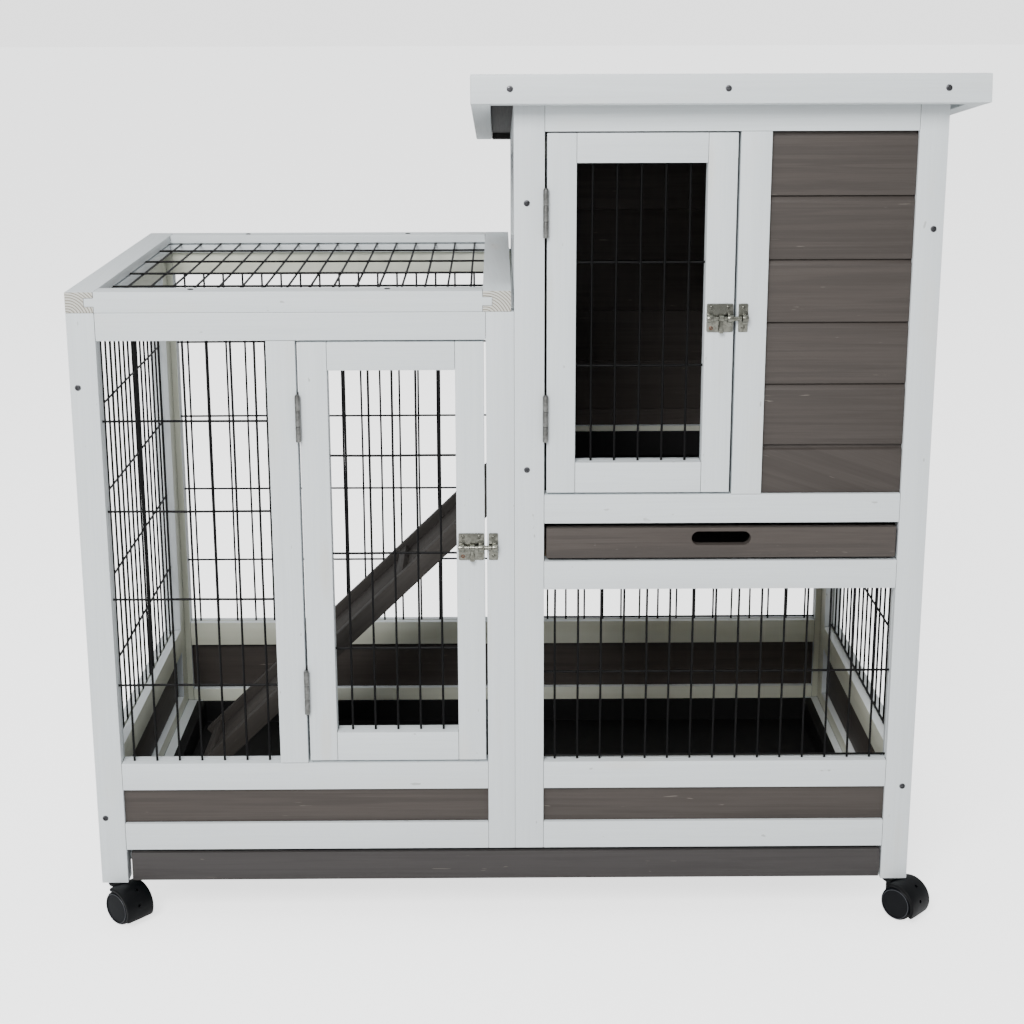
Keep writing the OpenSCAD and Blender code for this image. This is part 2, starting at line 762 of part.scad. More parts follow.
module hinge_pin() {
    translate([0, 0, -hinge_h / 2]) cylinder(r = pin_r, h = hinge_h);
    translate([0, 0, hinge_h / 2 + fit]) cylinder(r = 2.3, h = 1);
    translate([0, 0, hinge_h / 2 - 1]) cylinder(r = pin_r, h = 1.5);
}

module hinge_pins() in_row_frame() color(ZINC) {
    at_hinges(run_door_x, run_door_z) hinge_pin();
    at_hinges(cabin_door_x, cabin_door_z) hinge_pin();
    at_roof_hinges() rotate([0, 90, 0]) hinge_pin();
}

module run_door_frame() in_row_frame() color(WHITE) door_frame(run_door_x, run_door_z);
module run_door_mesh() in_row_frame() color(BLACK) door_mesh(run_door_x, run_door_z);
module run_door_hinge_leaves() in_row_frame() color(ZINC)
    at_hinges(run_door_x, run_door_z) hinge_leaf(1, middle_knuckle);

module cabin_door_frame() in_row_frame() color(WHITE) door_frame(cabin_door_x, cabin_door_z);
module cabin_door_mesh() in_row_frame() color(BLACK) door_mesh(cabin_door_x, cabin_door_z);
module cabin_door_hinge_leaves() in_row_frame() color(ZINC)
    at_hinges(cabin_door_x, cabin_door_z) hinge_leaf(1, middle_knuckle);

// ---------- latches ----------

// A bored loop that holds the bolt, standing on a plate at y = 0.
module loop(x, w) {
    difference() {
        union() {
            translate([x, bolt_y, 0]) rotate([0, 90, 0]) cylinder(r = barrel_r, h = w);
            translate([x, bolt_y, -barrel_r]) cube([w, -bolt_y - 0.1, 2 * barrel_r]);
        }
        translate([x - 1, bolt_y, 0]) rotate([0, 90, 0]) cylinder(r = bolt_bore_r, h = w + 2);
    }
}

module plate_screw(x, z) {
    translate([x, -sheet_t + 0.2, z]) rotate([90, 0, 0]) cylinder(r = 2.1, h = 0.9);
}

module latch_plate(at) translate([at[0], 0, at[1]]) {
    translate([0, -sheet_t, -plate_h / 2]) cube([plate_w, sheet_t, plate_h]);
    loop(0, strap_w);
    loop(plate_w - strap_w, strap_w);
    for (p = [[5.5, 10.5], [plate_w - 5.5, 10.5], [5.5, -10.5]]) plate_screw(p[0], p[1]);
}

// The bolt's tip stands just short of the keeper's loop.
function bolt_tip(keeper_x) = keeper_x + keeper_w - keeper_loop_w - bolt_tip_gap;

module latch_bolt(at, keeper_x)
    translate([bolt_tip(keeper_x) - bolt_l, bolt_y, at[1]]) rotate([0, 90, 0])
        cylinder(r = bolt_r, h = bolt_l);

// A collar round the bolt with a lever that hangs from it.
module latch_knob(at) translate([at[0] + plate_w / 2 - knob_w / 2 + 1, bolt_y, at[1]]) difference() {
    union() {
        rotate([0, 90, 0]) cylinder(r = 3.7, h = knob_w);
        translate([0, -1.5, -13]) cube([knob_w, 3, 12]);
        translate([0, -0.1, -13.5]) rotate([0, 90, 0]) cylinder(r = 2.1, h = knob_w);
    }
    translate([-1, 0, 0]) rotate([0, 90, 0]) cylinder(r = bolt_r + fit, h = knob_w + 2);
}

module keeper(x, z) translate([x, 0, z]) {
    translate([0, -sheet_t, -plate_h / 2]) cube([keeper_w, sheet_t, plate_h]);
    loop(keeper_w - keeper_loop_w, keeper_loop_w);
    for (s = [-1, 1]) plate_screw(keeper_w / 2, s * 10.5);
}

module latch_keepers() in_row_frame() color(ZINC) {
    keeper(run_keeper_x, run_latch[1]);
    keeper(cabin_keeper_x, cabin_latch[1]);
}

module run_latch_plate() in_row_frame() color(ZINC) latch_plate(run_latch);
module run_latch_bolt() in_row_frame() color(ZINC) latch_bolt(run_latch, run_keeper_x);
module run_latch_knob() in_row_frame() color(ZINC) latch_knob(run_latch);
module cabin_latch_plate() in_row_frame() color(ZINC) latch_plate(cabin_latch);
module cabin_latch_bolt() in_row_frame() color(ZINC) latch_bolt(cabin_latch, cabin_keeper_x);
module cabin_latch_knob() in_row_frame() color(ZINC) latch_knob(cabin_latch);

// ---------- drawers ----------

// An open pan; its front wall is as high as front_z.
module pan(x, y, z, front_z) {
    difference() {
        board(x, y, z);
        board([x[0] + pan_t, x[1] - pan_t], [y[0] + pan_t, y[1] - pan_t], [z[0] + pan_t, z[1] + 1]);
        board([x[0] + pan_t, x[1] - pan_t], [y[0] - 1, y[0] + pan_t + 1], [front_z, z[1] + 1]);
    }
}

module cabin_drawer_front() in_row_frame() color(TAUPE) difference() {
    board(cabin_drawer_x, [0, drawer_front_t], cabin_drawer_z);
    middle = [
        (cabin_drawer_x[0] + cabin_drawer_x[1]) / 2,
        (cabin_drawer_z[0] + cabin_drawer_z[1]) / 2 + grip_lift];
    translate([middle[0], drawer_front_t + 1, middle[1]]) rotate([90, 0, 0])
        linear_extrude(drawer_front_t + 2)
        union() {
            square([grip_w - grip_h, grip_h], center = true);
            for (s = [-1, 1]) translate([s * (grip_w - grip_h) / 2, 0]) circle(r = grip_h / 2);
        }
}

module cabin_drawer_pan() in_row_frame() color(BLACK)
    pan([cabin_drawer_x[0] + 1.5, cabin_drawer_x[1] - 1.5], [drawer_front_t, drawer_front_t + pan_d],
        [slot_z + 0.5, cabin_drawer_z[1] - 1.5], cabin_drawer_z[0] + 12);

module litter_drawer_front() in_row_frame() color(TAUPE)
    board(litter_drawer_x, [0, drawer_front_t], litter_drawer_z);

// The litter pan hangs by flanges along its two ends.
module litter_drawer_pan() in_row_frame() color(BLACK) {
    y = [drawer_front_t, drawer_front_t + pan_d];
    z = [litter_drawer_z[0] + 1, litter_drawer_z[1]];
    x = [litter_drawer_x[0] + 1, litter_drawer_x[1] - 1];
    pan([x[0] + litter_flange, x[1] - litter_flange], y, z, z[1] - 2);
    board([x[0], x[0] + litter_flange + 1], y, [z[1] - pan_t, z[1]]);
    board([x[1] - litter_flange - 1, x[1]], y, [z[1] - pan_t, z[1]]);
}

// ---------- ramp ----------

// The ramp's own frame: x down the ramp from the pivot, y across it from its front edge,
// z square to its surface, measured from the pivot's axis.
module on_ramp() {
    translate([ramp_pivot_p[0], ramp_y[0], ramp_pivot_p[1]])
        rotate([0, -ramp_slope, 0]) mirror([1, 0, 0]) children();
}

module ramp_boards() in_row_frame() color(TAUPE) on_ramp() {
    half = ramp_rail_h / 2;
    deck = [-half + 1, -half + 10];
    inner = [ramp_rail_w + joint, ramp_w - ramp_rail_w - joint];
    middle = ramp_w / 2;
    difference() {
        for (y = [0, ramp_w - ramp_rail_w])
            board([-ramp_top, ramp_l], [y, y + ramp_rail_w], [-half, half]);
        translate([0, -1, 0]) rotate([-90, 0, 0]) cylinder(r = ramp_pivot_r + fit, h = ramp_w + 2);
    }
    board([8, ramp_l - 2], [inner[0], middle - 0.5], deck);
    board([8, ramp_l - 2], [middle + 0.5, inner[1]], deck);
    for (s = [cleat_pitch : cleat_pitch : ramp_l])
        board([s - 6, s + 6], inner, [deck[1] + joint, deck[1] + 7]);
}

// The rod and the two blocks that hold it to the inner wall.
module ramp_pivot() in_row_frame() color(ZINC) {
    block_w = 9;
    clear = 0.5;
    ends = [ramp_y[0] - clear - block_w, ramp_y[1] + clear];
    translate([ramp_pivot_p[0], ends[0], ramp_pivot_p[1]]) rotate([-90, 0, 0])
        cylinder(r = ramp_pivot_r, h = ends[1] + block_w - ends[0]);
    for (y = ends) difference() {
        board([ramp_pivot_p[0] - 6, 0], [y, y + block_w], [ramp_pivot_p[1] - 8, ramp_pivot_p[1] + 8]);
        translate([ramp_pivot_p[0], y - 1, ramp_pivot_p[1]]) rotate([-90, 0, 0])
            cylinder(r = ramp_pivot_r + fit, h = block_w + 2);
    }
}

// ---------- casters ----------

// The order is front left, front right, rear left, rear right.
module at_caster(i) {
    translate([caster_x[i % 2], caster_y[floor(i / 2)], 0]) rotate([0, 0, caster_yaw[i]]) children();
}

axle_z = wheel_r - caster_h;

module on_axle() {
    translate([trail, 0, axle_z]) rotate([90, 0, 0]) children();
}

// The stem is fixed in the leg, with a washer against the leg's foot.
module caster_stems() in_row_frame() color(ZINC)
    for (i = [0 : 3]) at_caster(i) {
        translate([0, 0, neck_z + 1.2]) cylinder(r = stem_r, h = stem_up - neck_z - 1.2);
        translate([0, 0, -1]) cylinder(r = 7, h = 1);
    }

// Neck with a wide cap, centre web and the fender that covers the top and back of both wheels.
module hood() {
    half = wheel_gap + wheel_t + web_t / 2 + 1;
    rib = web_t / 2 - 0.25;
    difference() {
        union() {
            translate([0, 0, neck_z]) cylinder(r = neck_r, h = -neck_z - 2);
            translate([0, 0, -6.2]) cylinder(r = cap_r, h = 4.9);
            translate([1 - neck_r, 0.5 - web_t / 2, axle_z]) cube([trail, web_t - 1, 0.2 + neck_z - axle_z]);
            on_axle() cylinder(r = 18, h = web_t, center = true);
            on_axle() rotate([0, 0, -28]) rotate_extrude(angle = 138) polygon([
                [7, -rib], [fender_in, -rib], [fender_in, -half], [fender_out, -half],
                [fender_out, half], [fender_in, half], [fender_in, rib], [7, rib]]);
        }
        translate([0, 0, neck_z + 1]) cylinder(r = stem_r + fit, h = 14);
        on_axle() cylinder(r = axle_r + fit, h = 60, center = true);
    }
    on_axle() cylinder(r = axle_r, h = web_t + 2 * (wheel_t + wheel_gap), center = true);
}

// A hollow-faced wheel with chamfered edges.
module wheel() {
    dish = 2;
    rotate_extrude() polygon([
        [axle_r + fit, 0], [wheel_r - 1.5, 0], [wheel_r, 1.5], [wheel_r, wheel_t - 2], [wheel_r - 2, wheel_t],
        [wheel_r - 4, wheel_t], [wheel_r - 5, wheel_t - dish], [axle_r + 3, wheel_t - dish],
        [axle_r + 2, wheel_t - 1], [axle_r + fit, wheel_t - 1]]);
}

module wheel_pair() {
    on_axle() for (s = [-1, 1]) scale([1, 1, 1]) mirror([0, 0, s < 0 ? 1 : 0])
        translate([0, 0, web_t / 2 + wheel_gap]) wheel();
}

module caster_hood(i) in_row_frame() color(BLACK) at_caster(i) hood();
module caster_wheels(i) in_row_frame() color(BLACK) at_caster(i) wheel_pair();

run_front_frame();
run_side_frame();
run_back_frame();
cabin_front_frame();
cabin_side_frame();
cabin_back_frame();
inner_wall_frame();
base_planks();
cabin_front_planks();
cabin_side_planks();
cabin_back_planks();
inner_wall_planks();
run_front_mesh();
run_side_mesh();
run_back_mesh();
cabin_front_mesh();
cabin_side_mesh();
cabin_back_mesh();
cabin_floor();
drawer_runners();
run_top_frame();
run_top_mesh();
roof_deck();
roof_felt();
roof_boards();
frame_screws();
roof_back_board();
roof_screws();
roof_hinge_leaves();
hinge_frame_leaves();
hinge_pins();
latch_keepers();
run_door_frame();
run_door_mesh();
run_door_hinge_leaves();
run_latch_plate();
run_latch_bolt();
run_latch_knob();
cabin_door_frame();
cabin_door_mesh();
cabin_door_hinge_leaves();
cabin_latch_plate();
cabin_latch_bolt();
cabin_latch_knob();
cabin_drawer_front();
cabin_drawer_pan();
litter_drawer_front();
litter_drawer_pan();
ramp_boards();
ramp_pivot();
caster_stems();
caster_hood(0);  // caster_fl_hood
caster_hood(1);  // caster_fr_hood
caster_hood(2);  // caster_rl_hood
caster_hood(3);  // caster_rr_hood
caster_wheels(0);  // caster_fl_wheels
caster_wheels(1);  // caster_fr_wheels
caster_wheels(2);  // caster_rl_wheels
caster_wheels(3);  // caster_rr_wheels
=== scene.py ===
"""The looks of the rabbit hutch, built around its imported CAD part.

Wooden nodes are rebuilt board by board with eased edges, saw grooves and a grain direction,
mesh nodes as round wires, and the fittings and casters as finished pieces. Everything is in
metres, in the row frame.
"""

import json
import math
import random

import bmesh
import bpy
from mathutils import Matrix, Vector


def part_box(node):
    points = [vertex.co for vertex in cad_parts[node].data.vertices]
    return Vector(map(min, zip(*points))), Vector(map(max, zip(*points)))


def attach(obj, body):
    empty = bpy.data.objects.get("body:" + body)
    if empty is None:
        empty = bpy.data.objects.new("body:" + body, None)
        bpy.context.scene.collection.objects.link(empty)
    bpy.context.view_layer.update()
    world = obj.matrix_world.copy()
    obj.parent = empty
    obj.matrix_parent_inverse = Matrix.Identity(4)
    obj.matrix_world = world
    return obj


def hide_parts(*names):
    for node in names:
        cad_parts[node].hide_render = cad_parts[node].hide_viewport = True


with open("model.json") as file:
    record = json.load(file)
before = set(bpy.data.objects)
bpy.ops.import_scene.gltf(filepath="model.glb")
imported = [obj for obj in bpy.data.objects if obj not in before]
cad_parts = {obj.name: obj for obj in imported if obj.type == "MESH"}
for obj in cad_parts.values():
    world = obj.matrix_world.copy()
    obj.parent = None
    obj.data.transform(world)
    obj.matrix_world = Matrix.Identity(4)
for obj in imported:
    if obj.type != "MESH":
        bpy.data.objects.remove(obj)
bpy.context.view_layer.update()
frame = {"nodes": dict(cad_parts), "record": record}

RECORD = frame["record"]
SLOT_OF = {s["node"]: s["material_slot"] for s in RECORD["subparts"]}
BODY_OF = {n: b for b, ns in RECORD["behaviour"]["bodies"].items() for n in ns}
JOINTS = {j["name"]: j for j in RECORD["behaviour"]["joints"]}
MM = 0.001
X, Y, Z = Vector((1, 0, 0)), Vector((0, 1, 0)), Vector((0, 0, 1))
RING_WIDTH = 0.0029  # between the growth rings of an end face


# ---------- materials ----------


class Shader:
    """A small helper for writing node materials."""

    def __init__(self, name):
        self.material = bpy.data.materials.new(name)
        self.material.use_nodes = True
        self.tree = self.material.node_tree
        self.surface = self.tree.nodes["Principled BSDF"]

    def node(self, kind, inputs=None, **settings):
        made = self.tree.nodes.new(kind)
        for key, value in settings.items():
            setattr(made, key, value)
        for key, value in (inputs or {}).items():
            self.put(made.inputs[key], value)
        return made

    def put(self, socket, value):
        if isinstance(value, bpy.types.NodeSocket):
            self.tree.links.new(value, socket)
        else:
            socket.default_value = value

    def math(self, operation, a, b=0.0):
        return self.node("ShaderNodeMath", {0: a, 1: b}, operation=operation).outputs[0]

    def attribute(self, name, output="Vector"):
        return self.node("ShaderNodeAttribute", attribute_name=name).outputs[output]

    def stretch(self, vector, x, y, z, offset=(0, 0, 0)):
        inputs = {"Vector": vector, "Scale": (x, y, z), "Location": offset}
        return self.node("ShaderNodeMapping", inputs).outputs["Vector"]

    def noise(self, vector, scale=1.0, detail=3.0, rough=0.5, distortion=0.0):
        inputs = {"Vector": vector, "Scale": scale, "Detail": detail}
        inputs |= {"Roughness": rough, "Distortion": distortion}
        return self.node("ShaderNodeTexNoise", inputs).outputs["Fac"]

    def ramp(self, value, low, high, smooth=True):
        """0 below low, 1 above high."""
        made = self.node(
            "ShaderNodeMapRange",
            {"Value": value, "From Min": low, "From Max": high},
            interpolation_type="SMOOTHSTEP" if smooth else "LINEAR",
        )
        return made.outputs["Result"]

    def mix(self, share, a, b):
        made = self.node("ShaderNodeMix", data_type="RGBA")
        self.put(made.inputs[0], share)
        self.put(made.inputs[6], colour(a))
        self.put(made.inputs[7], colour(b))
        return made.outputs[2]

    def bump(self, height, strength, distance, normal=None):
        inputs = {"Height": height, "Strength": strength, "Distance": distance}
        if normal is not None:
            inputs["Normal"] = normal
        return self.node("ShaderNodeBump", inputs).outputs["Normal"]

    def painted_seam_shade(self, base, dirt_and_shade, reach):
        """Painted shade in the seams: dark where the surface is hemmed in within reach."""
        open_share = self.node("ShaderNodeAmbientOcclusion", {"Distance": reach}, samples=6).outputs["AO"]
        return self.mix(self.ramp(open_share, 0.25, 0.75), dirt_and_shade, base)

    def finish(self, base, rough, normal=None, **fixed):
        self.put(self.surface.inputs["Base Color"], colour(base))
        self.put(self.surface.inputs["Roughness"], rough)
        if normal is not None:
            self.put(self.surface.inputs["Normal"], normal)
        for key, value in fixed.items():
            self.surface.inputs[key.replace("_", " ")].default_value = value
        return self.material


def linear(c):
    c /= 255
    return c / 12.92 if c <= 0.04045 else ((c + 0.055) / 1.055) ** 2.4


def colour(value):
    """A hex string becomes a linear colour; a socket stays as it is."""
    if isinstance(value, str):
        return tuple(linear(int(value[i : i + 2], 16)) for i in (1, 3, 5)) + (1.0,)
    return value


def knots(s, grain, length, width, low, high):
    """Round spots stretched along the grain: 1 at the middle of a knot."""
    cell = s.node(
        "ShaderNodeTexVoronoi",
        {"Vector": s.stretch(grain, length, width, width), "Scale": 1.0, "Randomness": 1.0},
        feature="F1",
    )
    return s.math("SUBTRACT", 1.0, s.ramp(cell.outputs["Distance"], low, high))


def white_paint():
    s = Shader("white_paint")
    grain = s.attribute("grain")
    tone = s.attribute("tone", "Fac")
    lines = s.noise(s.stretch(grain, 9, 420, 420), detail=4, rough=0.62, distortion=0.4)
    bands = s.noise(s.stretch(grain, 3, 60, 60), detail=2)
    cloud = s.noise(s.stretch(grain, 7, 22, 22, (3, 1, 2)), detail=3)
    base = s.mix(s.ramp(lines, 0.34, 0.7), "#dee4e6", "#d9dfe1")
    base = s.mix(s.math("MULTIPLY", s.ramp(bands, 0.45, 0.75), 0.3), base, "#d3d7d9")
    base = s.mix(s.math("MULTIPLY", s.ramp(tone, 0.2, 1.0), 0.22), base, "#d5d9dc")
    base = s.mix(s.math("MULTIPLY", s.ramp(cloud, 0.58, 0.8), 0.25), base, "#dfdbd0")
    knot = knots(s, grain, 3.2, 17, 0.04, 0.16)
    base = s.mix(s.math("MULTIPLY", knot, 0.22), base, "#d3c9b4")
    marks = s.noise(s.stretch(grain, 60, 150, 150, (7, 5, 1)), detail=2, rough=0.4)
    base = s.mix(s.math("MULTIPLY", s.ramp(marks, 0.745, 0.79), 0.5), base, "#8d8c88")
    # Inner faces of the side and back frames are tinted cream.
    inside = s.attribute("inside", "Fac")
    inner_cream = s.mix(s.ramp(bands, 0.3, 0.75), "#d3d4bf", "#c6c6ad")
    base = s.mix(s.math("MULTIPLY", inside, 0.75), base, inner_cream)
    rough = s.math("MULTIPLY_ADD", lines, 0.16)
    rough.node.inputs[2].default_value = 0.36
    normal = s.bump(lines, 0.2, 0.0003)
    normal = s.bump(bands, 0.18, 0.0008, normal)
    # Bare end grain, where a face is marked as such.
    section = s.attribute("section")
    warp = s.noise(s.stretch(section, 60, 60, 60), detail=2)
    radius = s.node("ShaderNodeVectorMath", {0: section}, operation="LENGTH").outputs["Value"]
    turns = s.node("ShaderNodeMath", {0: radius, 1: 2 * math.pi / RING_WIDTH}, operation="MULTIPLY_ADD")
    s.put(turns.inputs[2], s.math("MULTIPLY", warp, 5.0))
    rings = s.mix(s.ramp(s.math("SINE", turns.outputs[0]), 0.1, 0.85), "#cfcdc5", "#7f7a6c")
    pores = s.noise(s.stretch(section, 1900, 1900, 1900), detail=2)
    rings = s.mix(s.math("MULTIPLY", s.ramp(pores, 0.5, 0.75), 0.5), rings, "#a8a394")
    base = s.mix(s.attribute("bare_end", "Fac"), base, rings)
    # Painted shade: seams, grooves and creases darkened towards grey.
    base = s.painted_seam_shade(base, "#5f6060", 0.0022)
    return s.finish(base, rough, normal, Specular_IOR_Level=0.4)


def stained(name, light, mid, dark, strength=1.0):
    """Stained softwood: fine streaks along the grain, soft growth bands, knots and rubbed spots."""
    s = Shader(name)
    grain = s.attribute("grain")
    tone = s.attribute("tone", "Fac")
    cloud = s.noise(s.stretch(grain, 5, 24, 24), detail=3)
    streak = s.noise(s.stretch(grain, 9, 620, 620), detail=5, rough=0.7, distortion=0.5)
    band = s.noise(s.stretch(grain, 2.2, 85, 85, (5, 0, 3)), detail=3, rough=0.5, distortion=1.4)
    base = s.mix(s.math("MULTIPLY", s.ramp(streak, 0.36, 0.7), 0.55 * strength), light, mid)
    base = s.mix(s.math("MULTIPLY", s.ramp(band, 0.45, 0.62), 0.4 * strength), base, dark)
    base = s.mix(s.math("MULTIPLY", s.ramp(cloud, 0.4, 0.75), 0.45), base, mid)
    knot = knots(s, grain, 4.2, 21, 0.03, 0.11)
    base = s.mix(s.math("MULTIPLY", knot, 0.5), base, "#3a3430")
    base = s.mix(s.math("MULTIPLY", tone, 0.35), base, dark)
    rub = s.noise(s.stretch(grain, 20, 90, 90, (1, 8, 4)), detail=5, rough=0.7)
    base = s.mix(s.math("MULTIPLY", s.ramp(rub, 0.7, 0.8), 0.3), base, "#6f6861")
    scratch = s.noise(s.stretch(grain, 14, 900, 260, (2, 3, 8)), detail=2, rough=0.3, distortion=2.5)
    base = s.mix(s.math("MULTIPLY", s.ramp(scratch, 0.76, 0.8), 0.5), base, "#8a837a")
    rough = s.math("MULTIPLY_ADD", streak, 0.2)
    rough.node.inputs[2].default_value = 0.5
    normal = s.bump(streak, 0.3 * strength, 0.0004)
    normal = s.bump(band, 0.18, 0.0008, normal)
    return s.finish(base, rough, normal, Specular_IOR_Level=0.3)


def plywood():
    s = Shader("plywood")
    grain = s.attribute("grain")
    streak = s.noise(s.stretch(grain, 4, 130, 130), detail=5, rough=0.65, distortion=1.0)
    base = s.mix(s.ramp(streak, 0.3, 0.7), "#c9b694", "#a98f69")
    return s.finish(base, 0.62, s.bump(streak, 0.3, 0.0004))


def wire_coat():
    s = Shader("black_wire")
    point = s.node("ShaderNodeTexCoord").outputs["Object"]
    drip = s.noise(point, 900, detail=2)
    base = s.mix(s.ramp(drip, 0.4, 0.7), "#050506", "#0a0a0b")
    return s.finish(base, 0.45, s.bump(drip, 0.25, 0.0002), Specular_IOR_Level=0.15)


def zinc(name, light, dark, rough_low, rough_high):
    s = Shader(name)
    point = s.node("ShaderNodeTexCoord").outputs["Object"]
    patch = s.noise(point, 260, detail=4, rough=0.6)
    fine = s.noise(s.stretch(point, 500, 3000, 3000), detail=2)
    base = s.mix(s.ramp(patch, 0.35, 0.7), light, dark)
    dirt_and_shade = s.noise(point, 90, detail=5, rough=0.7)
    base = s.mix(s.math("MULTIPLY", s.ramp(dirt_and_shade, 0.62, 0.75), 0.5), base, "#4a463d")
    # Painted shade: creases round straps, screws and plates darkened towards near black.
    base = s.painted_seam_shade(base, "#24231f", 0.004)
    rough = s.node(
        "ShaderNodeMapRange",
        {"Value": patch, "From Min": 0.3, "From Max": 0.7, "To Min": rough_low, "To Max": rough_high},
    ).outputs["Result"]
    return s.finish(base, rough, s.bump(fine, 0.12, 0.0001), Metallic=1.0)


def moulded(name, low, high, rough, grainy, level=0.5):
    s = Shader(name)
    point = s.node("ShaderNodeTexCoord").outputs["Object"]
    skin = s.noise(point, grainy, detail=3, rough=0.6)
    smear = s.noise(point, 22, detail=4)
    base = s.mix(s.ramp(smear, 0.4, 0.75), low, high)
    roughness = s.math("MULTIPLY_ADD", smear, 0.25)
    roughness.node.inputs[2].default_value = rough
    return s.finish(base, roughness, s.bump(skin, 0.22, 0.0003), Specular_IOR_Level=level)


def felt():
    s = Shader("roofing_felt")
    point = s.node("ShaderNodeTexCoord").outputs["Object"]
    grit = s.node("ShaderNodeTexVoronoi", {"Vector": point, "Scale": 620.0}, feature="F1")
    speck = grit.outputs["Color"]
    shade = s.node("ShaderNodeSeparateColor", {0: speck}).outputs[0]
    cloud = s.noise(point, 9, detail=4)
    base = s.mix(s.ramp(shade, 0.1, 0.95, False), "#3a3d3a", "#6d706b")
    base = s.mix(s.math("MULTIPLY", s.ramp(cloud, 0.4, 0.75), 0.4), base, "#4a4d4b")
    height = s.math("SUBTRACT", 1.0, grit.outputs["Distance"])
    return s.finish(base, 0.88, s.bump(height, 0.6, 0.0012), Specular_IOR_Level=0.3)


MATERIALS = {
    "white_paint": white_paint(),
    "taupe_stain": stained("taupe_stain", "#4c4642", "#423c38", "#35302d"),
    "skirt_stain": stained("skirt_stain", "#454241", "#3d3a39", "#333030", 0.7),
    "ramp_stain": stained("ramp_stain", "#403c39", "#37332f", "#292623"),
    "plywood": plywood(),
    "dark_deck": stained("dark_deck", "#24211f", "#1d1b19", "#151312", 0.8),
    "black_wire": wire_coat(),
    "zinc": zinc("zinc", "#84847b", "#686860", 0.2, 0.34),
    "dull_zinc": zinc("dull_zinc", "#868684", "#6c6c69", 0.3, 0.5),
    "dark_screw": zinc("dark_screw", "#5c5c5f", "#3d3d40", 0.34, 0.5),
    "brass_screw": zinc("brass_screw", "#8c6a58", "#6e4a3c", 0.3, 0.45),
    "roofing_felt": felt(),
    "tray_plastic": moulded("tray_plastic", "#040405", "#070708", 0.48, 700, 0.25),
    "caster_plastic": moulded("caster_plastic", "#040507", "#07090c", 0.3, 900, 0.18),
    "wheel_plastic": moulded("wheel_plastic", "#05070b", "#080b11", 0.36, 900, 0.18),
    # A lighter grey for the bead at each wheel's rim edge: a painted highlight.
    "wheel_rim_highlight": moulded("wheel_rim_highlight", "#55585d", "#3c3f44", 0.3, 900, 0.4),
}


# ---------- mesh helpers ----------

SAME_POINT = 2e-6  # metres
SAME_PLANE = 0.4  # degrees


def read(node):
    """A CAD node's mesh with its doubled points joined."""
    bm = bmesh.new()
    bm.from_mesh(frame["nodes"][node].data)
    bmesh.ops.remove_doubles(bm, verts=bm.verts, dist=SAME_POINT)
    bm.verts.index_update()
    bm.faces.index_update()
    bm.verts.ensure_lookup_table()
    return bm


def solids(node):
    """The separate solids of a CAD node, each as its own mesh without seams in its flat faces."""
    bm = read(node)
    seen, found = set(), []
    for start in bm.verts:
        if start.index in seen:
            continue
        seen.add(start.index)
        stack, group = [start], []
        while stack:
            vert = stack.pop()
            group.append(vert)
            for edge in vert.link_edges:
                other = edge.other_vert(vert)
                if other.index not in seen:
                    seen.add(other.index)
                    stack.append(other)
        group.sort(key=lambda v: v.index)
        part = bmesh.new()
        made = {v.index: part.verts.new(v.co) for v in group}
        faces = {f.index: f for v in group for f in v.link_faces}
        for index in sorted(faces):
            part.faces.new([made[v.index] for v in faces[index].verts])
        flatten(part)
        found.append(part)
    bm.free()
    found.sort(key=lambda p: tuple(round(c, 5) for c in centre_of(p)))
    return found


def flatten(bm):
    bmesh.ops.dissolve_limit(
        bm, angle_limit=math.radians(SAME_PLANE), verts=bm.verts[:], edges=bm.edges[:]
    )
    bm.normal_update()


def bounds_of(bm):
    points = [v.co for v in bm.verts]
    low = Vector([min(p[i] for p in points) for i in range(3)])
    high = Vector([max(p[i] for p in points) for i in range(3)])
    return low, high


def centre_of(bm):
    low, high = bounds_of(bm)
    return (low + high) / 2


def hull(part):
    """The convex hull, which has no screw holes."""
    new = bmesh.new()
    for v in part.verts:
        new.verts.new(v.co)
    made = bmesh.ops.convex_hull(new, input=new.verts[:])
    spare = [g for g in made["geom_interior"] + made["geom_unused"] if isinstance(g, bmesh.types.BMVert)]
    if spare:
        bmesh.ops.delete(new, geom=list(set(spare)), context="VERTS")
    flatten(new)
    bmesh.ops.recalc_face_normals(new, faces=new.faces[:])
    return new


def ease(bm, width, segments=2, angle=28, profile=0.6):
    """Rounds every edge sharper than an angle."""
    edges = [e for e in bm.edges if len(e.link_faces) == 2 and e.calc_face_angle(0) > math.radians(angle)]
    bmesh.ops.bevel(
        bm, geom=edges, offset=width, offset_type="OFFSET", segments=segments,
        profile=profile, affect="EDGES", clamp_overlap=True,
    )
    bm.normal_update()


def cut(bm, cutters):
    """Boolean difference of closed meshes."""
    def as_object(mesh_bm, name):
        mesh = bpy.data.meshes.new(name)
        mesh_bm.to_mesh(mesh)
        made = bpy.data.objects.new(name, mesh)
        bpy.context.scene.collection.objects.link(made)
        return made

    body = as_object(bm, "cut_body")
    tools = [as_object(c, "cut_tool") for c in cutters]
    for tool in tools:
        modifier = body.modifiers.new("cut", "BOOLEAN")
        modifier.operation, modifier.object, modifier.solver = "DIFFERENCE", tool, "EXACT"
    bpy.context.view_layer.update()
    result = bpy.data.meshes.new_from_object(body.evaluated_get(bpy.context.evaluated_depsgraph_get()))
    bm.clear()
    bm.from_mesh(result)
    bpy.data.meshes.remove(result)
    for made in [body, *tools]:
        mesh = made.data
        bpy.data.objects.remove(made)
        bpy.data.meshes.remove(mesh)
    bm.normal_update()


def block(low, high):
    bm = bmesh.new()
    corners = [
        bm.verts.new((x, y, z))
        for x in (low[0], high[0]) for y in (low[1], high[1]) for z in (low[2], high[2])
    ]
    for face in ((0, 1, 3, 2), (4, 6, 7, 5), (0, 4, 5, 1), (2, 3, 7, 6), (0, 2, 6, 4), (1, 5, 7, 3)):
        bm.faces.new([corners[i] for i in face])
    return bm


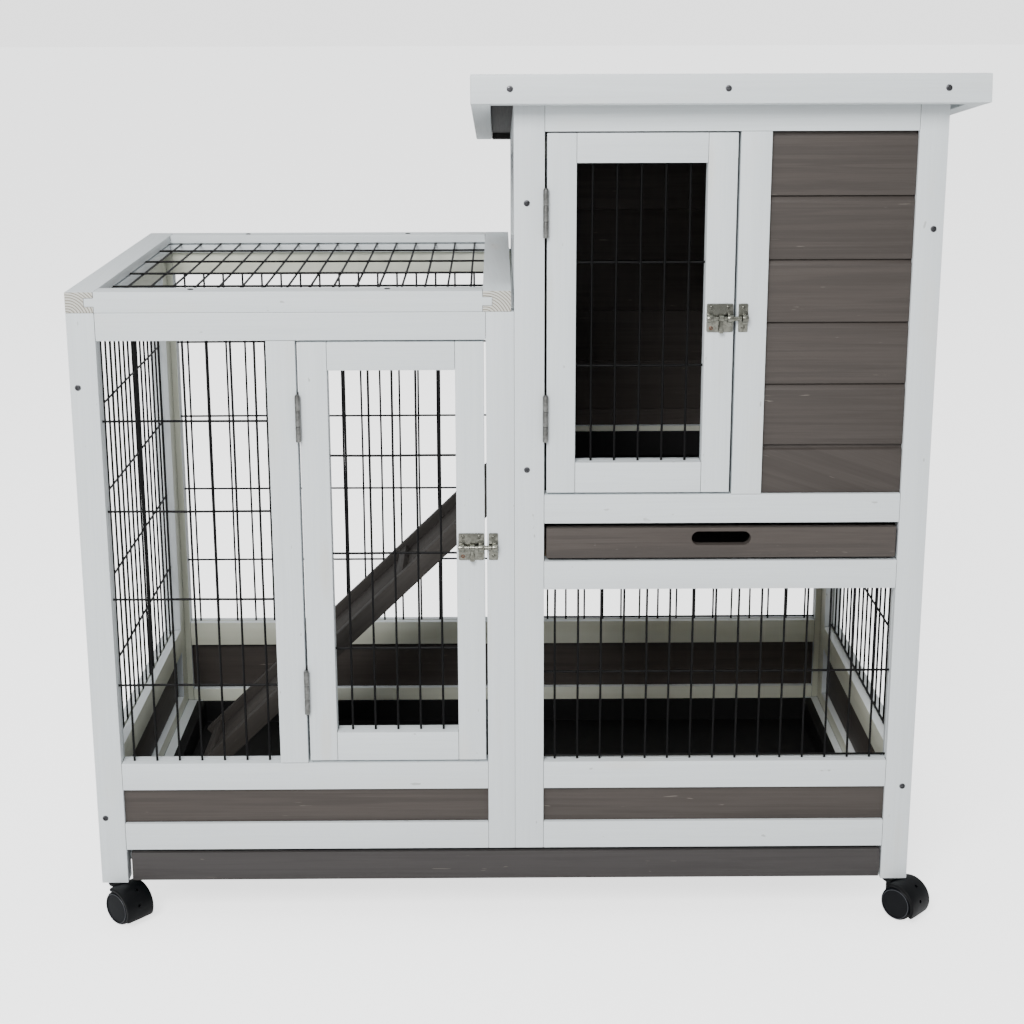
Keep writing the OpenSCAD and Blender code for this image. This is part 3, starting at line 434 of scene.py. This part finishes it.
def prism(outline, thickness, base=Matrix.Identity(4)):
    """A flat outline in x and y, thickened along +z, then placed."""
    bm = bmesh.new()
    low = [bm.verts.new((x, y, 0)) for x, y in outline]
    high = [bm.verts.new((x, y, thickness)) for x, y in outline]
    bm.faces.new(low[::-1])
    bm.faces.new(high)
    for i in range(len(outline)):
        j = (i + 1) % len(outline)
        bm.faces.new([low[i], low[j], high[j], high[i]])
    bmesh.ops.recalc_face_normals(bm, faces=bm.faces[:])
    bmesh.ops.transform(bm, matrix=base, verts=bm.verts[:])
    return bm


def lathe(profile, base=Matrix.Identity(4), segments=64, start=0.0, sweep=360.0):
    """Turns a closed profile of (radius, height) points round +z. A part turn gets end faces."""
    bm = bmesh.new()
    full = sweep >= 360
    count = segments if full else segments + 1
    rings = []
    for i in range(count):
        a = math.radians(start + sweep * i / segments)
        rings.append([bm.verts.new((r * math.cos(a), r * math.sin(a), h)) for r, h in profile])
    for i in range(segments):
        one, two = rings[i], rings[(i + 1) % count]
        for j in range(len(profile)):
            k = (j + 1) % len(profile)
            bm.faces.new([one[j], two[j], two[k], one[k]])
    if not full:
        bm.faces.new(rings[0])
        bm.faces.new(rings[-1][::-1])
    bmesh.ops.remove_doubles(bm, verts=bm.verts[:], dist=1e-7)
    bmesh.ops.recalc_face_normals(bm, faces=bm.faces[:])
    bmesh.ops.transform(bm, matrix=base, verts=bm.verts[:])
    return bm


def tube(points, radius, sides=10):
    """A round wire along a list of points, with closed ends."""
    bm = bmesh.new()
    rings = []
    for i, p in enumerate(points):
        before, after = points[max(i - 1, 0)], points[min(i + 1, len(points) - 1)]
        along = (after - before).normalized()
        side = along.orthogonal().normalized()
        up = along.cross(side)
        angles = [2 * math.pi * k / sides for k in range(sides)]
        rings.append([bm.verts.new(p + radius * (math.cos(a) * side + math.sin(a) * up)) for a in angles])
    for one, two in zip(rings, rings[1:]):
        for k in range(sides):
            m = (k + 1) % sides
            bm.faces.new([one[k], one[m], two[m], two[k]])
    bm.faces.new(rings[0][::-1])
    bm.faces.new(rings[-1])
    return bm


def facing(z_axis, origin=Vector((0, 0, 0))):
    """A placement whose local +z points along z_axis."""
    z_axis = Vector(z_axis).normalized()
    side = z_axis.orthogonal()
    side = (side - side.dot(z_axis) * z_axis).normalized()
    up = z_axis.cross(side)
    turn = Matrix((side, up, z_axis)).transposed().to_4x4()
    return Matrix.Translation(origin) @ turn


def piece(name, parts, material, node=None, slot=None, body=None, smooth=35, also=()):
    """Joins meshes into one shown piece that rides on its body and stands for its CAD node.
    parts are bmeshes, or (bmesh, material name) pairs. also lists more nodes it stands for."""
    mesh = bpy.data.meshes.new(name)
    names, joined = [material], bmesh.new()
    for entry in parts:
        bm, its = entry if isinstance(entry, tuple) else (entry, material)
        if its not in names:
            names.append(its)
        for face in bm.faces:
            face.material_index = names.index(its)
        spare = bpy.data.meshes.new("spare")
        bm.to_mesh(spare)
        joined.from_mesh(spare)
        bpy.data.meshes.remove(spare)
        bm.free()
    for face in joined.faces:
        face.smooth = True
    joined.to_mesh(mesh)
    joined.free()
    mesh.set_sharp_from_angle(angle=math.radians(smooth))
    for its in names:
        mesh.materials.append(MATERIALS[its])
    made = bpy.data.objects.new(name, mesh)
    bpy.context.scene.collection.objects.link(made)
    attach(made, body or BODY_OF[node])
    if node:
        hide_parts(node, *also)
    slot or SLOT_OF[node]
    return made


# ---------- timber ----------

GROOVES = []  # one thin box for each mesh window: the saw kerf that holds its wires
KERF, KERF_DEPTH = 2.6 * MM, 5 * MM
WINDOWS = {}
HULL_SHARE = 0.985  # a board fuller than this is convex but for its screw holes


def windows_of(node):
    """Thickness axis, window low and high corners of a mesh node."""
    low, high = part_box(node)
    size = high - low
    thin = min(range(3), key=lambda i: size[i])
    return thin, low, high


for mesh_node in [n for n in BODY_OF if n.endswith("_mesh")]:
    thin, low, high = windows_of(mesh_node)
    middle = (low[thin] + high[thin]) / 2
    a, b = low.copy(), high.copy()
    for i in range(3):
        if i == thin:
            a[i], b[i] = middle - KERF / 2, middle + KERF / 2
        else:
            a[i], b[i] = low[i] - KERF_DEPTH, high[i] + KERF_DEPTH
    WINDOWS[mesh_node] = (thin, low, high)
    GROOVES.append((BODY_OF[mesh_node], a, b))


def overlap(a_low, a_high, b_low, b_high):
    return all(a_low[i] < b_high[i] - 1e-5 and b_low[i] < a_high[i] - 1e-5 for i in range(3))


def mark_grain(bm, rng, bare=None, inner=None):
    """Writes each point's place along and across its board's grain, and the board's tone."""
    longest = max(bm.edges, key=lambda e: (round(e.calc_length(), 6), -e.index))
    along = (longest.verts[1].co - longest.verts[0].co).normalized()
    if along[max(range(3), key=lambda i: abs(along[i]))] < 0:
        along = -along
    side = (Z if abs(along.z) < 0.6 else Y).cross(along).normalized()
    up = along.cross(side)
    middle = centre_of(bm)
    shift = Vector((rng.uniform(0, 9), rng.uniform(0, 9), rng.uniform(0, 9)))
    heart = Vector((0, rng.choice((-1, 1)) * rng.uniform(0.018, 0.03), rng.uniform(0.014, 0.03)))
    tone = rng.random()
    grain = bm.verts.layers.float_vector.new("grain")
    section = bm.verts.layers.float_vector.new("section")
    shade = bm.verts.layers.float.new("tone")
    end = bm.faces.layers.float.new("bare_end")
    inside = bm.faces.layers.float.new("inside")
    for v in bm.verts:
        d = v.co - middle
        local = Vector((d.dot(along), d.dot(side), d.dot(up)))
        v[grain] = local + shift
        v[section] = Vector((0, local.y, local.z)) + heart
        v[shade] = tone
    for f in bm.faces:
        at_end = bare is not None and abs(f.normal.dot(along)) > 0.9
        f[end] = 1.0 if at_end and bare(f.calc_center_median()) else 0.0
        f[inside] = 1.0 if inner is not None and f.normal.dot(inner) > 0.5 else 0.0
    return bm


def timber(node, material=None, width=0.8, seed=0, bare=None, grooved=True, inner=None):
    """Rebuilds a wooden node board by board."""
    rng = random.Random(f"{node}{seed}")
    parts = []
    for part in solids(node):
        plain = hull(part)
        if part.calc_volume() > HULL_SHARE * plain.calc_volume():
            part.free()
            part = plain
        else:
            plain.free()
        ease(part, width * MM * rng.uniform(0.8, 1.25))
        if grooved:
            low, high = bounds_of(part)
            body = BODY_OF[node]
            kerfs = [block(a, b) for owner, a, b in GROOVES if owner == body and overlap(low, high, a, b)]
            if kerfs:
                cut(part, kerfs)
        mark_grain(part, rng, bare, inner)
        parts.append(part)
    return piece(f"{node}_wood", parts, material or SLOT_OF[node], node)


top_low, top_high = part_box("run_top_frame")


def front_end_of_top(point):
    return point.y < top_low.y + 0.5 * MM


for wood_node in (
    "run_front_frame", "cabin_front_frame", "inner_wall_frame", "run_door_frame", "cabin_door_frame",
    "drawer_runners",
):
    timber(wood_node)
for wood_node, inner_side in (
    ("run_side_frame", X), ("run_back_frame", -Y), ("cabin_side_frame", -X), ("cabin_back_frame", -Y),
):
    timber(wood_node, inner=inner_side)
timber("run_top_frame", bare=front_end_of_top)
timber("roof_boards", width=1.6)
for plank_node in (
    "base_planks", "cabin_front_planks", "cabin_side_planks", "cabin_back_planks", "inner_wall_planks",
):
    timber(plank_node, width=0.6, grooved=False)
timber("cabin_drawer_front", width=1.2, grooved=False)
timber("litter_drawer_front", "skirt_stain", width=1.0, grooved=False)
timber("ramp_boards", "ramp_stain", width=1.2, grooved=False)
timber("cabin_floor", grooved=False)
timber("roof_deck", grooved=False)
timber("roof_back_board", width=1.6, grooved=False)


# ---------- wires ----------

WIRE = 1.28 * MM  # radius
WELD = 1.0 * MM  # from the panel's middle to each layer of wires
WIRE_END = 4 * MM  # how far a wire runs into the wood


def bar_centres(bm, axis, low, high):
    """Where the bars that cross an axis lie, from the edges of the CAD grid."""
    values = sorted({round(v.co[axis], 5) for v in bm.verts})
    inner = [v for v in values if low + 1e-4 < v < high - 1e-4]
    return [(a + b) / 2 for a, b in zip(inner[::2], inner[1::2])]


def wires(node):
    rng = random.Random(node)
    thin, low, high = WINDOWS[node]
    bm = read(node)
    axes = [i for i in range(3) if i != thin]
    centres = {i: bar_centres(bm, i, low[i], high[i]) for i in axes}
    bm.free()
    close = max(axes, key=lambda i: len(centres[i]) / (high[i] - low[i]))
    wide = axes[0] if axes[1] == close else axes[1]
    middle = (low[thin] + high[thin]) / 2
    outward = -1 if middle < 0 or thin == 2 else 1
    parts = []
    for across, along, side in ((close, wide, outward), (wide, close, -outward)):
        for c in centres[across]:
            points = []
            for t in (0, 0.25, 0.5, 0.75, 1):
                p = Vector((0, 0, 0))
                p[along] = low[along] - WIRE_END + t * (high[along] - low[along] + 2 * WIRE_END)
                wander = 0.3 * MM if 0 < t < 1 else 0.1 * MM
                p[across] = c + rng.uniform(-wander, wander)
                p[thin] = middle + side * WELD + rng.uniform(-1, 1) * 0.08 * MM
                points.append(p)
            parts.append(tube(points, WIRE))
    return piece(f"{node}_wires", parts, "black_wire", node, smooth=60)


for mesh_node in sorted(WINDOWS):
    wires(mesh_node)


# ---------- plain nodes that need only eased edges ----------


def eased(node, material=None, width=0.4, segments=2):
    parts = []
    for part in solids(node):
        ease(part, width * MM, segments)
        parts.append(part)
    return piece(f"{node}_made", parts, material or SLOT_OF[node], node)


eased("roof_felt", width=1.0)
eased("cabin_drawer_pan", width=1.0, segments=3)
eased("litter_drawer_pan", width=1.2, segments=3)
eased("hinge_frame_leaves", "dull_zinc", 0.25)
eased("run_door_hinge_leaves", "dull_zinc", 0.25)
eased("cabin_door_hinge_leaves", "dull_zinc", 0.25)
eased("roof_hinge_leaves", "dull_zinc", 0.25)
eased("hinge_pins", "dull_zinc", 0.3)
eased("caster_stems", "zinc", 0.4)
eased("ramp_pivot", "zinc", 0.6)


# ---------- screws ----------

HEAD_RISE, HEAD_MIN = 0.9 * MM, 2.6 * MM
RECESS_DEPTH = 0.75 * MM
SHANK_R, SHANK_BACK = 1.9 * MM, 1.2 * MM


def screw_head(place, radius, rise):
    """A domed cross-recessed head on a face; local +z points out of the face."""
    profile = [(0, rise)]
    for k in range(1, 7):
        a = math.pi / 2 * k / 6
        profile.append((radius * math.sin(a) ** 0.8, rise * max(math.cos(a), 0.0) ** 0.6))
    profile += [(radius, -0.4 * MM), (0, -0.4 * MM)]
    head = lathe(profile, segments=28)
    arm, slot_w = radius * 0.62, radius * 0.2
    bottom, clear = rise - RECESS_DEPTH, rise + 1 * MM
    cutters = [
        block((-arm, -slot_w, bottom), (arm, slot_w, clear)),
        block((-slot_w, -arm, bottom), (slot_w, arm, clear)),
    ]
    cut(head, cutters)
    bmesh.ops.transform(head, matrix=place, verts=head.verts[:])
    return head


def screws(node, material="dark_screw"):
    """Heads at the wide end of each CAD screw, with the shank behind them."""
    rng = random.Random(node)
    parts = []
    for part in solids(node):
        middle = sum((v.co for v in part.verts), Vector()) / len(part.verts)
        longest = max(part.edges, key=lambda e: e.calc_length())
        along = (longest.verts[1].co - longest.verts[0].co).normalized()
        reach = [(v.co - middle).dot(along) for v in part.verts]
        off = [(v.co - middle - r * along).length for v, r in zip(part.verts, reach)]
        wide = max(range(len(reach)), key=lambda i: off[i])
        sign = 1 if reach[wide] > 0 else -1
        out = sign * along
        top, bottom = max(sign * r for r in reach), min(sign * r for r in reach)
        if off[wide] > HEAD_MIN:
            place = facing(out, middle + out * (top - HEAD_RISE))
            place = place @ Matrix.Rotation(rng.uniform(0, math.pi / 2), 4, "Z")
            parts.append(screw_head(place, off[wide], HEAD_RISE))
        length = top - bottom - 2 * SHANK_BACK
        shank = lathe([(0, 0), (SHANK_R, 0), (SHANK_R, length), (0, length)], segments=16)
        inward = facing(-out, middle + out * (top - SHANK_BACK))
        bmesh.ops.transform(shank, matrix=inward, verts=shank.verts[:])
        parts.append(shank)
        part.free()
    return piece(f"{node}_heads", parts, material, node)


screws("frame_screws")
screws("roof_screws")


# ---------- latches ----------

SHEET = 1.2 * MM
STRAP_OUT, STRAP_IN, STRAP_W = 4.3 * MM, 2.75 * MM, 6.2 * MM
KEEPER_STRAP_W = 6 * MM
FOOT = 6.6 * MM  # from the bolt's axis to the end of a strap's foot
LATCH_H = 30 * MM
COLLAR_R = 3.7 * MM
LEVER_T = 2.2 * MM
PLATE_SCREW_R = 2.1 * MM
# Each plate screw: place across and up from the plate's middle in mm, turn, material.
PLATE_SCREWS = ((-9.2, 11, 0.3, "zinc"), (8.5, 11, 0.9, "zinc"), (-9.2, -10.8, 0.6, "brass_screw"))
# Each keeper screw: place up from the middle in mm, turn.
KEEPER_SCREWS = ((10.5, 0.2), (-10.5, 1.1))


def strap(x0, x1, face_y, axis_y, z):
    """A loop of sheet over the bolt with a foot on the plate above and below."""
    lift = face_y - SHEET * 0.95
    outline = [(face_y, FOOT), (lift, FOOT), (lift, STRAP_OUT)]
    arc = [math.pi * k / 14 for k in range(15)]
    outline += [(axis_y - STRAP_OUT * math.sin(a), STRAP_OUT * math.cos(a)) for a in arc]
    outline += [(lift, -STRAP_OUT), (lift, -FOOT), (face_y, -FOOT), (face_y, -STRAP_IN)]
    outline += [(axis_y - STRAP_IN * math.sin(a), STRAP_IN * math.cos(a)) for a in reversed(arc)]
    outline += [(face_y, STRAP_IN)]
    place = Matrix(((0, 0, 1, x0), (1, 0, 0, 0), (0, 1, 0, z), (0, 0, 0, 1)))
    made = prism(outline, x1 - x0, place)
    ease(made, 0.22 * MM)
    return made


def plate(low, high, face_y, corner=1.6 * MM):
    """A thin plate with rounded corners, its back on the wood."""
    width, height = high.x - low.x, high.z - low.z
    outline = []
    for cx, cz, start in (
        (width - corner, height - corner, 0), (corner, height - corner, 90), (corner, corner, 180),
        (width - corner, corner, 270),
    ):
        for k in range(5):
            a = math.radians(start + 22.5 * k)
            outline.append((cx + corner * math.cos(a), cz + corner * math.sin(a)))
    place = Matrix(((1, 0, 0, low.x), (0, 0, 1, face_y), (0, 1, 0, low.z), (0, 0, 0, 1)))
    made = prism(outline, high.y - face_y, place)
    ease(made, 0.25 * MM)
    return made


def plate_screw(x, face_y, z, turn):
    place = facing(-Y, Vector((x, face_y + 0.2 * MM, z))) @ Matrix.Rotation(turn, 4, "Z")
    return screw_head(place, PLATE_SCREW_R, HEAD_RISE)


def latch(name):
    plate_low, plate_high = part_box(f"{name}_latch_plate")
    bolt_low, bolt_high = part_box(f"{name}_latch_bolt")
    knob_low, knob_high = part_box(f"{name}_latch_knob")
    axis_y, axis_z = (bolt_low.y + bolt_high.y) / 2, (bolt_low.z + bolt_high.z) / 2
    face_y = plate_high.y - SHEET
    mid = (plate_low.x + plate_high.x) / 2
    low = Vector((plate_low.x, plate_low.y, axis_z - LATCH_H / 2))
    high = Vector((plate_high.x, plate_high.y, axis_z + LATCH_H / 2))
    parts = [plate(low, high, face_y)]
    for x0, x1 in ((low.x, low.x + STRAP_W), (high.x - STRAP_W, high.x)):
        parts.append(strap(x0, x1, face_y + 0.1 * MM, axis_y, axis_z))
    for dx, dz, turn, its in PLATE_SCREWS:
        parts.append((plate_screw(mid + dx * MM, face_y, axis_z + dz * MM, turn), its))
    piece(f"{name}_latch_plate_made", parts, "zinc", f"{name}_latch_plate")

    radius, length = (bolt_high.z - bolt_low.z) / 2, bolt_high.x - bolt_low.x
    tip = 0.7 * MM
    outline = [(0, 0), (radius - tip, 0), (radius, tip)]
    outline += [(r, length - h) for r, h in reversed(outline)]
    rod = lathe(outline, facing(X, Vector((bolt_low.x, axis_y, axis_z))), segments=32)
    piece(f"{name}_latch_bolt_made", [rod], "zinc", f"{name}_latch_bolt")

    width = knob_high.x - knob_low.x
    bore = radius + 0.08 * MM
    ring = [(bore, 0), (COLLAR_R - 0.4 * MM, 0), (COLLAR_R, 0.4 * MM)]
    ring += [(r, width - h) for r, h in reversed(ring)]
    collar = lathe(ring, facing(X, Vector((knob_low.x, axis_y, axis_z))), segments=36)
    drop = axis_z - knob_low.z
    half = width / 2
    side = [(half * 0.62, -3.0 * MM), (half * 0.5, -5.4 * MM)]
    side += [(half * 0.62, -7.6 * MM), (half * 0.86, -10.2 * MM)]
    side += [(half, -drop + 1.6 * MM), (half * 0.93, -drop + 0.5 * MM), (half * 0.6, -drop)]
    outline = side + [(-x, z) for x, z in reversed(side)]
    centre = (knob_low.x + knob_high.x) / 2
    place = Matrix(((1, 0, 0, centre), (0, 0, 1, axis_y - LEVER_T / 2), (0, 1, 0, axis_z), (0, 0, 0, 1)))
    lever = prism(outline, LEVER_T, place)
    ease(lever, 0.5 * MM, 3)
    piece(f"{name}_latch_knob_made", [collar, lever], "zinc", f"{name}_latch_knob")


def keepers():
    parts = []
    for low, high in keeper_groups():
        face_y = high.y - SHEET
        parts.append(plate(low, high, face_y, 1.0 * MM))
        axis_z = (low.z + high.z) / 2
        bolt_low, bolt_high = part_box("run_latch_bolt" if low.x < 0 else "cabin_latch_bolt")
        axis_y = (bolt_low.y + bolt_high.y) / 2
        parts.append(strap(high.x - KEEPER_STRAP_W, high.x, face_y + 0.1 * MM, axis_y, axis_z))
        for dz, turn in KEEPER_SCREWS:
            parts.append(plate_screw((low.x + high.x) / 2, face_y, axis_z + dz * MM, turn))
    piece("latch_keepers_made", parts, "zinc", "latch_keepers")


def keeper_groups():
    """The box of each keeper: the left one on the run, the right one on the cabin."""
    boxes = [bounds_of(part) for part in solids("latch_keepers")]
    for side in (True, False):
        mine = [b for b in boxes if (b[0].x < 0) == side]
        low = Vector([min(b[0][i] for b in mine) for i in range(3)])
        high = Vector([max(b[1][i] for b in mine) for i in range(3)])
        yield low, high


latch("run")
latch("cabin")
keepers()


# ---------- casters ----------

WEB, WHEEL_T, WHEEL_GAP = 7 * MM, 13.4 * MM, 0.4 * MM
FENDER_T = 4.2 * MM
FENDER_FROM, FENDER_SWEEP = -28, 138
# Each of the fender's holes: degrees round the axle, and mm along it.
FENDER_HOLES = ((14, 2.5), (54, -2.5))
HOLE_R = 2.1 * MM
NECK_BORE, NECK_R, CAP_R = 4.1 * MM, 5.6 * MM, 10 * MM
NECK_DEPTH, CAP_DEPTH = 8.9 * MM, 4.9 * MM
WEB_R, PIN_R = 18 * MM, 2.4 * MM
RIM_LINE, RIM_LINE_R = 2.9 * MM, 0.24 * MM


def caster(name):
    swivel = Vector(JOINTS[f"{name}_swivel"]["pos_m"])
    axle = Vector(JOINTS[f"{name}_roll"]["pos_m"])
    back = Vector((axle.x - swivel.x, axle.y - swivel.y, 0))
    trail = back.length
    back.normalize()
    tread = axle.z
    # Local axes: x away from the swivel, y up, z along the axle.
    frame_of = Matrix.Translation(axle) @ Matrix((back, Z, back.cross(Z))).transposed().to_4x4()

    inner, outer = WEB / 2 + WHEEL_GAP, WEB / 2 + WHEEL_GAP + WHEEL_T
    wheels = []
    for sign in (1, -1):
        profile = [
            (0, inner), (tread - 1.6 * MM, inner), (tread - 0.5 * MM, inner + 0.5 * MM),
            (tread, inner + 1.8 * MM), (tread, outer - 4.2 * MM), (tread - 0.4 * MM, outer - 2.6 * MM),
            (tread - 1.3 * MM, outer - 1.2 * MM), (tread - 2.2 * MM, outer - 0.7 * MM),
            (tread - 2.5 * MM, outer - 0.1 * MM), (tread - RIM_LINE, outer),
            (tread - 3.3 * MM, outer - 0.1 * MM), (tread - 3.6 * MM, outer - 0.75 * MM),
            (tread - 6 * MM, outer - 0.6 * MM), (tread - 10 * MM, outer - 0.35 * MM),
            (4 * MM, outer - 0.2 * MM), (0, outer - 0.15 * MM),
        ]
        wheels.append(lathe([(r, sign * h) for r, h in profile], frame_of, segments=96))
        # A thin bead round the rim's edge in a lighter grey: a painted highlight.
        line = [
            (tread - RIM_LINE + RIM_LINE_R * math.cos(a), outer + RIM_LINE_R * math.sin(a))
            for a in (k * math.pi / 3 for k in range(6))
        ]
        wheels.append((lathe([(r, sign * h) for r, h in line], frame_of, segments=96), "wheel_rim_highlight"))
    piece(f"{name}_wheels_made", wheels, "wheel_plastic", f"{name}_wheels", smooth=40)

    reach = outer + 1 * MM
    r0 = tread + 0.8 * MM
    r1 = r0 + FENDER_T
    rib = WEB / 2 - 0.25 * MM
    shell = [
        (7 * MM, -rib), (r0, -rib), (r0, -reach + 0.3 * MM), (r0 + 0.4 * MM, -reach),
        (r1 - 1.6 * MM, -reach), (r1 - 0.7 * MM, -reach + 0.6 * MM),
        (r1 - 0.2 * MM, -reach + 3 * MM), (r1, -5 * MM),
    ]
    shell += [(r, -h) for r, h in reversed(shell)]
    fender = lathe(shell, frame_of, segments=56, start=FENDER_FROM, sweep=FENDER_SWEEP)
    holes = []
    for degrees, off in FENDER_HOLES:
        a = math.radians(degrees)
        out = Vector((math.cos(a), math.sin(a), 0))
        hole = lathe([(0, 0), (HOLE_R, 0), (HOLE_R, 3 * MM), (0, 3 * MM)], segments=20)
        base = frame_of @ facing(out, out * (r1 - 2.4 * MM) + Vector((0, 0, off * MM)))
        bmesh.ops.transform(hole, matrix=base, verts=hole.verts[:])
        holes.append(hole)
    cut(fender, holes)
    web = lathe([(PIN_R, -WEB / 2), (WEB_R, -WEB / 2), (WEB_R, WEB / 2), (PIN_R, WEB / 2)], frame_of)
    top = Matrix.Translation((swivel.x, swivel.y, 0))
    cap_z = swivel_cap_top(name)
    cap_low, neck_low = cap_z - CAP_DEPTH, cap_z - NECK_DEPTH
    cap = lathe(
        [
            (NECK_BORE, neck_low), (NECK_R, neck_low), (NECK_R, cap_low), (CAP_R - 0.6 * MM, cap_low),
            (CAP_R, cap_low + 0.7 * MM), (CAP_R, cap_z - 0.9 * MM),
            (CAP_R - 0.8 * MM, cap_z), (NECK_BORE, cap_z),
        ],
        top, segments=64,
    )
    cheek = block((-trail - 4.6 * MM, 0, -3 * MM), (-4 * MM, neck_low + 0.2 * MM - tread, 3 * MM))
    ease(cheek, 0.5 * MM)
    bmesh.ops.transform(cheek, matrix=frame_of, verts=cheek.verts[:])
    pin_end = outer - 1.2 * MM
    pin = lathe([(0, -pin_end), (PIN_R, -pin_end), (PIN_R, pin_end), (0, pin_end)], frame_of)
    piece(f"{name}_hood_made", [fender, web, cap, cheek, pin], "caster_plastic", f"{name}_hood", smooth=40)


def swivel_cap_top(name):
    """The flat top of a hood's neck: its CAD points nearest the swivel axis."""
    swivel = JOINTS[f"{name}_swivel"]["pos_m"]
    points = [v.co for v in frame["nodes"][f"{name}_hood"].data.vertices]
    near = [p.z for p in points if math.hypot(p.x - swivel[0], p.y - swivel[1]) < 4.4 * MM]
    return max(near)


for corner in ("fl", "fr", "rl", "rr"):
    caster(f"caster_{corner}")


# ---------- scene ----------


FLOOR_HALF, FLOOR_T = 40, 0.05
FLOOR_GLOW = 1.9  # added to the floor for camera rays only
WORLD_LIGHT, WORLD_PAPER = 0.55, 2.75  # what the world gives, and what the camera sees of it
# Each lamp: name, place, what it points at, size, watts.
LAMPS = (
    ("key", (-0.9, -3.4, 2.9), (0, 0, 0.45), 1.6, 185),
    ("top", (0.3, 0.2, 3.6), (0, 0, 0.4), 2.6, 40),
)


def lamp(name, place, target, size, power):
    data = bpy.data.lights.new(name, "AREA")
    data.shape, data.size, data.energy = "SQUARE", size, power
    made = bpy.data.objects.new(name, data)
    made.location = place
    made.rotation_mode = "QUATERNION"
    made.rotation_quaternion = (Vector(target) - Vector(place)).to_track_quat("-Z", "Y")
    bpy.context.scene.collection.objects.link(made)


def studio():
    floor = bpy.data.objects.new("floor", bpy.data.meshes.new("floor"))
    bm = block((-FLOOR_HALF, -FLOOR_HALF, -FLOOR_T), (FLOOR_HALF, FLOOR_HALF, 0))
    bm.to_mesh(floor.data)
    bm.free()
    s = Shader("floor")
    material = s.finish("#fafafa", 0.9)
    # The paper looks brighter than the light it sends back, as an over-lit studio sweep does.
    glow = s.node("ShaderNodeEmission", {"Color": (1, 1, 1, 1), "Strength": FLOOR_GLOW})
    seen = s.node("ShaderNodeLightPath").outputs["Is Camera Ray"]
    both = s.node("ShaderNodeAddShader", {0: s.surface.outputs[0], 1: glow.outputs[0]})
    pick = s.node("ShaderNodeMixShader", {0: seen, 1: s.surface.outputs[0], 2: both.outputs[0]})
    s.put(s.tree.nodes["Material Output"].inputs["Surface"], pick.outputs[0])
    floor.data.materials.append(material)
    bpy.context.scene.collection.objects.link(floor)

    world = bpy.data.worlds.new("studio")
    world.use_nodes = True
    nodes, links = world.node_tree.nodes, world.node_tree.links
    light = nodes["Background"]
    light.inputs["Color"].default_value = (0.97, 0.99, 1, 1)
    light.inputs["Strength"].default_value = WORLD_LIGHT
    paper = nodes.new("ShaderNodeBackground")
    paper.inputs["Strength"].default_value = WORLD_PAPER
    pick = nodes.new("ShaderNodeMixShader")
    links.new(nodes.new("ShaderNodeLightPath").outputs["Is Camera Ray"], pick.inputs[0])
    links.new(light.outputs[0], pick.inputs[1])
    links.new(paper.outputs[0], pick.inputs[2])
    links.new(pick.outputs[0], nodes["World Output"].inputs["Surface"])
    bpy.context.scene.world = world

    for settings in LAMPS:
        lamp(*settings)


# The photograph's viewpoint, solved from its straight edges.
CAMERA_LENS = 66.21  # mm, on a 36 mm sensor
CAMERA_PLACE = (-0.0226, -2.2260, 1.0211)
CAMERA_TURN = (15.285, 0.419, -0.146)  # pitch, yaw and roll in degrees


def camera():
    data = bpy.data.cameras.new("camera")
    data.sensor_width = 36.0
    data.lens = CAMERA_LENS
    pitch, yaw, roll = (math.radians(a) for a in CAMERA_TURN)
    forward = Vector((math.sin(yaw) * math.cos(pitch), math.cos(yaw) * math.cos(pitch), -math.sin(pitch)))
    right = Vector((math.cos(yaw), -math.sin(yaw), 0))
    up = right.cross(forward)
    right, up = (
        math.cos(roll) * right + math.sin(roll) * up,
        -math.sin(roll) * right + math.cos(roll) * up,
    )
    turn = Matrix((right, up, -forward)).transposed().to_4x4()
    made = bpy.data.objects.new("camera", data)
    made.matrix_world = Matrix.Translation(CAMERA_PLACE) @ turn
    data.clip_start, data.clip_end = 0.05, 200
    bpy.context.scene.collection.objects.link(made)
    bpy.context.scene.camera = made


studio()
camera()
